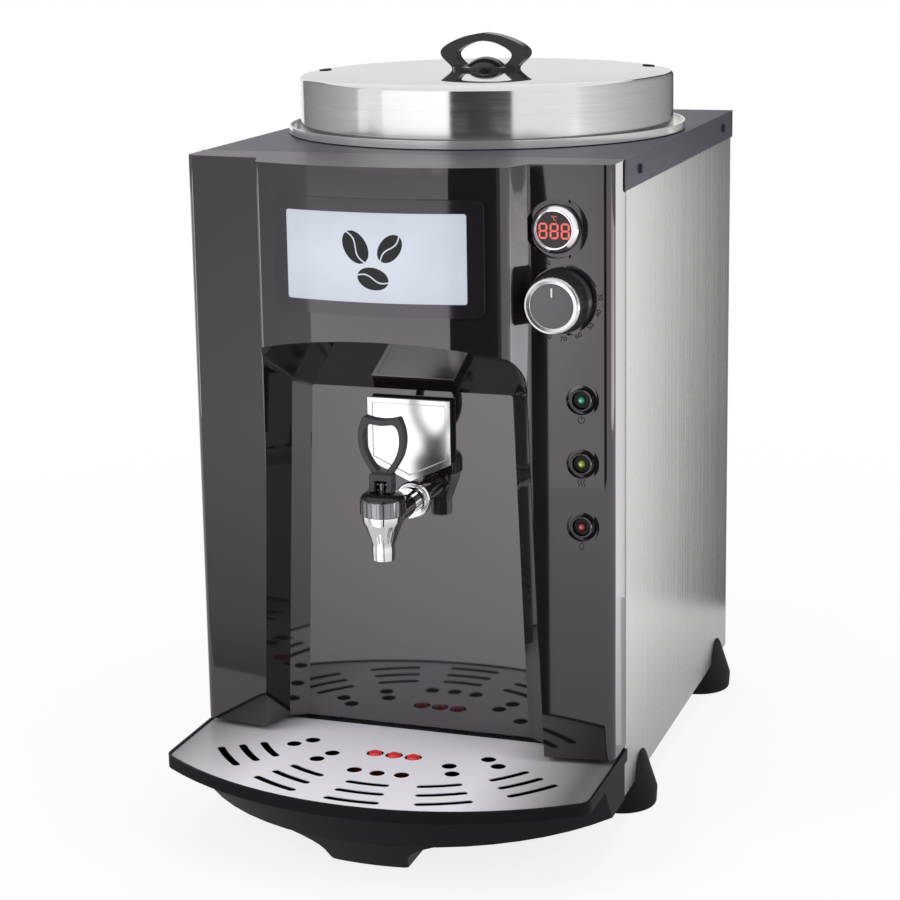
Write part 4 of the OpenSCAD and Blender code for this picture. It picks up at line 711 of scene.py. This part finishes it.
def seven_bars(cx, cz, wide, tall, thick, gap=0.0002):
    """A digit with all seven bars lit."""
    left, right = cx - wide / 2, cx + wide / 2
    bars = []
    for z in (cz - tall / 2, cz, cz + tall / 2):
        bars.append(bar(left + gap, z, right - gap, z, thick))
    for x in (left, right):
        for z in (cz - tall / 2, cz):
            bars.append(bar(x, z + gap, x, z + tall / 2 - gap, thick))
    return bars


def ribbon(points, widths, closed=False):
    """A stroke of changing width along a line of (x, z) points."""
    rows = []
    count = len(points)
    for i, (x, z) in enumerate(points):
        before = points[(i - 1) % count] if closed or i else points[i]
        after = points[(i + 1) % count] if closed or i < count - 1 else points[i]
        run = Vector((after[0] - before[0], after[1] - before[1])).normalized()
        half = (widths if isinstance(widths, float) else widths[i]) / 2
        rows.append([(x - run.y * half, z + run.x * half), (x + run.y * half, z - run.x * half)])
    return rows, closed


def arc(cx, cz, radius, first, last, steps):
    """Points on a circle, by angles clockwise from the top."""
    turns = [radians(first + (last - first) * k / steps) for k in range(steps + 1)]
    return [(cx + radius * sin(t), cz + radius * cos(t)) for t in turns]


low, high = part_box("display_window")
face_x, face_z = (low.x + high.x) / 2, (low.z + high.z) / 2
digit_pitch, digits_down = 0.0082, 0.0010
red_bars = []
for column in (-1, 0, 1):
    red_bars += seven_bars(face_x + column * digit_pitch, face_z - digits_down,
                           wide=0.0052, tall=0.0102, thick=0.0014)
# The degree sign is a small ring, and the C beside it ends in a short bar.
ring_x, ring_z = face_x - 0.0013, face_z + 0.0094
c_x, c_z, c_r = face_x + 0.0009, face_z + 0.0082, 0.00135
red_bars.append(ribbon(arc(ring_x, ring_z, 0.00055, 0, 330, 11), 0.00028, closed=True))
red_bars.append(ribbon(arc(c_x, c_z, c_r, 50, 130, 1)[:1] + arc(c_x, c_z, c_r, 40, -220, 14),
                       0.0004))
red_glow, tree, shader = plain_finish("lit red bars", (0.50, 0.05, 0.05), 0.4,
                                      Emission_Strength=0.62)
spots = put(tree, "ShaderNodeTexNoise", {"Scale": 700.0, "Detail": 1.0})
warm = put(tree, "ShaderNodeMix", {"A": (0.95, 0.10, 0.07, 1), "B": (1.0, 0.30, 0.24, 1)},
           data_type="RGBA")
fixed_to_piece(tree, spots)
tree.links.new(spots.outputs["Fac"], warm.inputs["Factor"])
tree.links.new(warm.outputs["Result"], shader.inputs["Emission Color"])
new_piece("display_digits", laid(red_bars, front_of("display_window")), red_glow, "urn",
          smooth=False)

# ---- Lamps --------------------------------------------------------------------------
# Three indicator lamps, each a small coloured lens deep in a black cup with a dark
# chromed bezel. A printed sign stands under each: power, heat and water.
# Dark chrome for the lamp bezels and lever pin. The tap stem takes it too, as painted shade.
dark_chrome_and_stem_shade = grained("black chrome", (0.10, 0.10, 0.11), 0.10, spread=0.04, bump=0.01,
                       depth=0.00005, Metallic=1.0)
dress("lamp_bezels", dark_chrome_and_stem_shade, edge=0.0004, segments=3)
dress("lamp_bodies", black_plastic, edge=0.0003)


def lens(name, node, colour, glow, spark):
    """A lens whose middle is bright and whose rim stays dark."""
    lens_r, spark_end, glow_at, rim_share = 0.003, 0.10, 0.34, 0.05
    mat, tree, shader = plain_finish(name, colour, 0.10, Emission_Strength=0.9, Coat_Weight=0.4)
    low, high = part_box(node)
    _, reach = seen_from(tree, (low + high) / 2, (1, 0, 1))
    ramp = put(tree, "ShaderNodeValToRGB")
    tree.links.new(between(tree, reach, 0, lens_r, 0, 1), ramp.inputs["Fac"])
    stops = ramp.color_ramp.elements
    stops[0].position, stops[0].color = spark_end, (*spark, 1)
    stops[1].position, stops[1].color = 1.0, (*(part * rim_share for part in glow), 1)
    stops.new(glow_at).color = (*glow, 1)
    tree.links.new(ramp.outputs["Color"], shader.inputs["Emission Color"])
    dress(node, mat)


lens("green lens", "lamp_lens_green", (0.01, 0.07, 0.05), (0.02, 0.20, 0.13), (0.45, 0.85, 0.68))
lens("yellow-green lens", "lamp_lens_amber", (0.06, 0.07, 0.01), (0.22, 0.26, 0.03),
     (0.75, 0.80, 0.35))
lens("red lens", "lamp_lens_red", (0.07, 0.01, 0.01), (0.18, 0.01, 0.01), (0.75, 0.25, 0.22))


def power_sign(x, z, stroke=0.0007):
    """A ring that is open at the top, with an upright bar in the gap."""
    ring_r, bar_top, bar_foot = 0.0024, 0.0031, 0.0006
    return [ribbon(arc(x, z, ring_r, 32, 328, 24), stroke),
            ribbon([(x, z + bar_top), (x, z + bar_foot)], stroke)]


def heat_sign(x, z, stroke=0.0007):
    """Three rising waves."""
    apart, swing, foot, tall = 0.0021, 0.0006, 0.0026, 0.0056
    return [ribbon([(x + wave + swing * sin(2 * pi * k / 12), z - foot + tall * k / 14)
                    for k in range(15)], stroke) for wave in (-apart, 0, apart)]


def water_sign(x, z, stroke=0.0006):
    """The outline of a drop."""
    half_wide, half_tall, raised, taper, steps = 0.0021, 0.0031, 0.0004, 1.3, 28
    turns = [2 * pi * k / steps for k in range(steps)]
    return [ribbon([(x + half_wide * sin(t) * sin(t / 2) ** taper, z + raised + half_tall * cos(t))
                    for t in turns], stroke, closed=True)]


sign_drop = 0.0145
signs = []
for node, sign in (("lamp_lens_green", power_sign), ("lamp_lens_amber", heat_sign),
                   ("lamp_lens_red", water_sign)):
    low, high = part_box(node)
    signs += sign((low.x + high.x) / 2, (low.z + high.z) / 2 - sign_drop)
sign_ink = grained("sign ink", (0.020, 0.020, 0.021), 0.55, bump=0.03, Specular_IOR_Level=0.25)
moulding_front = front_of("front_moulding")
new_piece("lamp_signs", laid(signs, moulding_front), sign_ink, "urn",
          smooth=False)

# ---- Thermostat and knob ------------------------------------------------------------
# A capillary thermostat behind the pillar turns with a black ribbed knob that has bright
# rings and a grey cap with a white pointer. Plain degrees are printed round it.
cream_plastic = grained("cream plastic", (0.68, 0.63, 0.48), 0.4, scale=1500)
dress("thermostat_body terminal_block", cream_plastic, edge=0.0004)
brass = grained("plated brass", (0.62, 0.52, 0.28), 0.3, scale=1500, bump=0.03, Metallic=1.0)
dress("thermostat_spindle shank_nut union_nut", brass, edge=0.0003)
dress("capillary_bulb", grained("copper", (0.62, 0.29, 0.16), 0.32, scale=1500, bump=0.03,
                                Metallic=1.0))
dress("knob_skirt", grained("ribbed knob plastic", (0.010, 0.010, 0.011), 0.30, scale=1500,
                            bump=0.06, wear=(0.04, 0.04, 0.04)), edge=0.0003)
dress("knob_rings", grained("satin chrome", (0.74, 0.74, 0.76), 0.22, scale=500, spread=0.05,
                            bump=0.01, depth=0.00005, Metallic=1.0), edge=0.0002)
dress("knob_cap", grained("grey cap", (0.105, 0.105, 0.11), 0.3, spread=0.06), edge=0.0002)
low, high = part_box("knob_cap")
knob_x, knob_z = (low.x + high.x) / 2, (low.z + high.z) / 2
white_ink = grained("white ink", (0.80, 0.80, 0.80), 0.5, spread=0.08, bump=0.02)
pointer_foot, pointer_step, pointer_width = 0.0064, 0.0006, 0.0012
pointer = ribbon([(knob_x, knob_z + pointer_foot + pointer_step * k) for k in range(12)],
                 pointer_width)
new_piece("knob_pointer", laid([pointer], front_of("knob_cap")), white_ink, "knob",
          smooth=False)


def numeral(text, x, z, tall, turn, surface):
    """Printed figures, centred on a point and turned clockwise from upright."""
    height_share, bolder, wider, lift = 0.7, 0.00006, 1.1, 0.0001
    curve = bpy.data.curves.new("figures", "FONT")
    curve.body = text
    curve.size = tall / height_share
    curve.align_x = "CENTER"
    curve.align_y = "CENTER"
    curve.resolution_u = 3
    curve.offset = bolder
    holder = bpy.data.objects.new("figures", curve)
    part = bmesh.new()
    part.from_mesh(holder.to_mesh())
    holder.to_mesh_clear()
    bpy.data.objects.remove(holder)
    bpy.data.curves.remove(curve)
    for v in part.verts:
        u, w = v.co.x * wider, v.co.y
        px, pz = x + u * cos(turn) + w * sin(turn), z - u * sin(turn) + w * cos(turn)
        v.co = (px, surface(px, pz) - lift, pz)
    mesh = bpy.data.meshes.new("figures")
    part.to_mesh(mesh)
    part.free()
    return mesh


# A wedge that widens clockwise, and figures that stay readable below the knob too.
figures_r, figures_tall = 0.0282, 0.0034
wedge_r, wedge_thin, wedge_grows, steps = 0.0266, 0.0003, 0.0013, 26
dial = laid([ribbon(arc(knob_x, knob_z, wedge_r, 14, 68, steps),
                    [wedge_thin + wedge_grows * k / steps for k in range(steps + 1)])],
            moulding_front)
for value, angle in (("0", -18), ("30", 84), ("40", 108), ("50", 131), ("60", 154), ("70", 177),
                     ("80", 200), ("90", 223)):
    turn = radians(angle)
    upside = turn if abs(angle) < 90 else turn - pi
    figures = numeral(value, knob_x + figures_r * sin(turn), knob_z + figures_r * cos(turn),
                      figures_tall, upside, moulding_front)
    dial.from_mesh(figures)
    bpy.data.meshes.remove(figures)
new_piece("dial_figures", dial, sign_ink, "urn", smooth=False)

# ---- Tank, heater and inner parts ---------------------------------------------------
# A spun stainless tank with a dished rim on a stand, lagged and heated by a clamped band.
# A silicone gasket seals the rim, and a pipe with a union nut leads to the tap.
low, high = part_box("lid_shell")
tank_axis = Vector((0, (low.y + high.y) / 2, 0))
brushing = 0.55  # how far the fine grooves draw out a highlight


def turned_steel(name, colour, roughness, contrast, metallic=1.0):
    """Steel brushed round the tank's upright axis, as on a turned part."""
    mat, tree, shader, scale = brushed_steel(name, colour, roughness, stretch=(5, 500, 1500),
                                             contrast=contrast, dents=0.03, metallic=metallic)
    shader.inputs["Anisotropic"].default_value = brushing
    shader.inputs["Anisotropic Rotation"].default_value = 0.25
    place, reach = seen_from(tree, tank_axis, (1, 1, 0))
    parts = put(tree, "ShaderNodeSeparateXYZ")
    joined = put(tree, "ShaderNodeCombineXYZ")
    tangent = put(tree, "ShaderNodeTangent", direction_type="RADIAL", axis="Z")
    tree.links.new(place, parts.inputs[0])
    tree.links.new(sums(tree, "ARCTAN2", parts.outputs["Y"], parts.outputs["X"]),
                   joined.inputs["X"])
    tree.links.new(reach, joined.inputs["Y"])
    tree.links.new(parts.outputs["Z"], joined.inputs["Z"])
    tree.links.new(joined.outputs[0], scale.inputs["Vector"])
    tree.links.new(tangent.outputs[0], shader.inputs["Tangent"])
    return mat


tank_steel = turned_steel("bright tank steel", (0.86, 0.86, 0.85), 0.15, contrast=0.14,
                          metallic=0.8)
dress("tank outlet_pipe", tank_steel, edge=0.0004, segments=3)
dress("rim_gasket", grained("dark silicone", (0.02, 0.02, 0.022), 0.6, bump=0.06))
dress("tank_lagging", grained("glass wool", (0.66, 0.58, 0.28), 0.9, scale=260, spread=0.05,
                              bump=0.8, depth=0.002))
dress("band_heater", grained("heat-tinted band", (0.50, 0.44, 0.33), 0.34, scale=700, spread=0.2,
                             Metallic=1.0), edge=0.0003)
dress("cutout_thermostat cable_gland gland_nut tray_guides", black_plastic, edge=0.0003)

# ---- Tap ----------------------------------------------------------------------------
# A chromed brass tap with a bonnet nut, black above and chromed ribs below. The grey
# lever tilts on a cross pin and lifts the stem, and a spring closes it again.
dress("tap_body tap_rosette", polished, edge=0.0004, segments=3)
bonnet = grained("bonnet, black over chrome", (0.24, 0.24, 0.26), 0.16, spread=0.05, bump=0.02,
                 Metallic=1.0)
tree, shader = opened(bonnet)
black_from = (0.2682, 0.2686)
black_top = between(tree, axes(tree, "ShaderNodeTexCoord", "Object")["Z"], *black_from, 0, 1)
covered(tree, shader, (0.008, 0.008, 0.009), black_top)
tree.links.new(sums(tree, "SUBTRACT", 1.0, black_top), shader.inputs["Metallic"])
dress("tap_bonnet", bonnet, edge=0.0003)
# The stem is bright chrome, but it gets the dark chrome: painted shade for the dark surroundings it
# mirrors in the lever's fork.
dress("tap_stem lever_pin", dark_chrome_and_stem_shade, edge=0.0002)
dress("shank_washer", grained("red silicone", (0.55, 0.06, 0.04), 0.5, bump=0.06))
dress("seat_cup", grained("white silicone", (0.75, 0.75, 0.72), 0.5, bump=0.06))
dress("stem_spring", grained("spring wire", (0.5, 0.5, 0.5), 0.3, scale=2500, bump=0.03,
                             Metallic=1.0))
lever_grey = grained("lever plastic", (0.056, 0.054, 0.060), 0.45, wear=(0.020, 0.020, 0.022),
                     Specular_IOR_Level=0.15)
dress("tap_lever", lever_grey, edge=0.0010, segments=3)

# ---- Lid ----------------------------------------------------------------------------
# A deep cap of spun steel, brushed round its axis, with two vents in black grommets. A
# black loop handle on a foot plate is screwed on under a round boss.
lid_steel = turned_steel("bright lid steel", (0.73, 0.73, 0.73), 0.12, contrast=0.30)
tree, shader = opened(lid_steel)
# The top is polished finer than the side, and its brushing doesn't draw highlights out.
facing = axes(tree, "ShaderNodeNewGeometry", "Normal")
upward, finer = (0.80, 0.97), 0.35
tree.links.new(sums(tree, "MULTIPLY", source(shader, "Roughness"),
                    between(tree, facing["Z"], *upward, 1, finer)), shader.inputs["Roughness"])
tree.links.new(between(tree, facing["Z"], *upward, brushing, 0), shader.inputs["Anisotropic"])
dress("lid_shell", lid_steel)
handle_black = grained("handle plastic", (0.008, 0.008, 0.008), 0.24, Specular_IOR_Level=0.4)
dress("lid_handle", handle_black, edge=0.0016, segments=4)
dress("lid_boss", grained("boss plastic", (0.012, 0.012, 0.012), 0.2, bump=0.03), edge=0.0003)

lid_faces = faces_of("lid_shell")
vent_reach, probe, above_lid, around = 0.135, 0.006, 0.7, 28
grommet = ((0.0030, -0.0014), (0.0038, -0.0010), (0.0040, 0.0000), (0.0050, 0.0001),
           (0.0052, 0.0004), (0.0050, 0.0008), (0.0042, 0.0010), (0.0028, 0.0010),
           (0.0020, 0.0007), (0.0016, 0.0001), (0.0, 0.0))  # radius and height
vents = bmesh.new()
for angle in (27, 187):
    away = Vector((cos(radians(angle)), sin(radians(angle)), 0))
    inner, outer = (lid_faces.ray_cast(tank_axis + Vector((0, 0, above_lid)) + away * reach,
                                       Vector((0, 0, -1)))[0]
                    for reach in (vent_reach - probe, vent_reach + probe))
    slope = (outer - inner).normalized()
    beside = Vector((-away.y, away.x, 0))
    up = slope.cross(beside)
    seat = (inner + outer) / 2
    rings = []
    for r, h in grommet:
        turns = [2 * pi * k / around for k in range(around if r else 1)]
        rings.append([vents.verts.new(seat + up * h + (slope * cos(t) + beside * sin(t)) * r)
                      for t in turns])
    vents.faces.new(rings[0])
    for a, b in zip(rings, rings[1:]):
        for k in range(around):
            corners = (b[0],) if len(b) == 1 else (b[k], b[k - 1])
            vents.faces.new((a[k - 1], a[k], *corners))
new_piece("vent_grommets", vents, black_plastic, "lid")

# ---- Drip tray ----------------------------------------------------------------------
# A satin black moulded tray with a leg, a brushed grille with slots and round holes, and
# a red float whose domes rise through three holes when the tray is full.
tray_satin = grained("satin tray plastic", (0.009, 0.0085, 0.0105), 0.42, scale=1100, spread=0.12,
                     bump=0.08, wear=(0.020, 0.019, 0.022), Specular_IOR_Level=0.05)
dress("drip_tray", tray_satin, edge=0.0007, segments=3)
grille_steel, tree, shader, _ = brushed_steel("grille steel", (0.95, 0.93, 0.99), 0.34,
                                              stretch=(7, 900, 900), contrast=0.07, dents=0.03,
                                              metallic=0.03)
# The grille's colour is darkened towards its two ends. This is painted shade for the dimmer sheen
# there.
along = axes(tree, "ShaderNodeTexCoord", "Object")["X"]
left_end, right_end, left_end_shade, right_end_shade = (-0.160, -0.085), (0.075, 0.150), 0.26, 0.18
ends = sums(tree, "MULTIPLY", between(tree, along, *left_end, left_end_shade, 1),
            between(tree, along, *right_end, 1, right_end_shade))
tinted(tree, source(shader, "Base Color"), ends, shader)
dress("tray_grille", grille_steel, edge=0.0002)
dress("tray_float", grained("float red", (0.70, 0.015, 0.02), 0.2, spread=0.06, bump=0.03,
                            Coat_Weight=0.5), edge=0.0004)
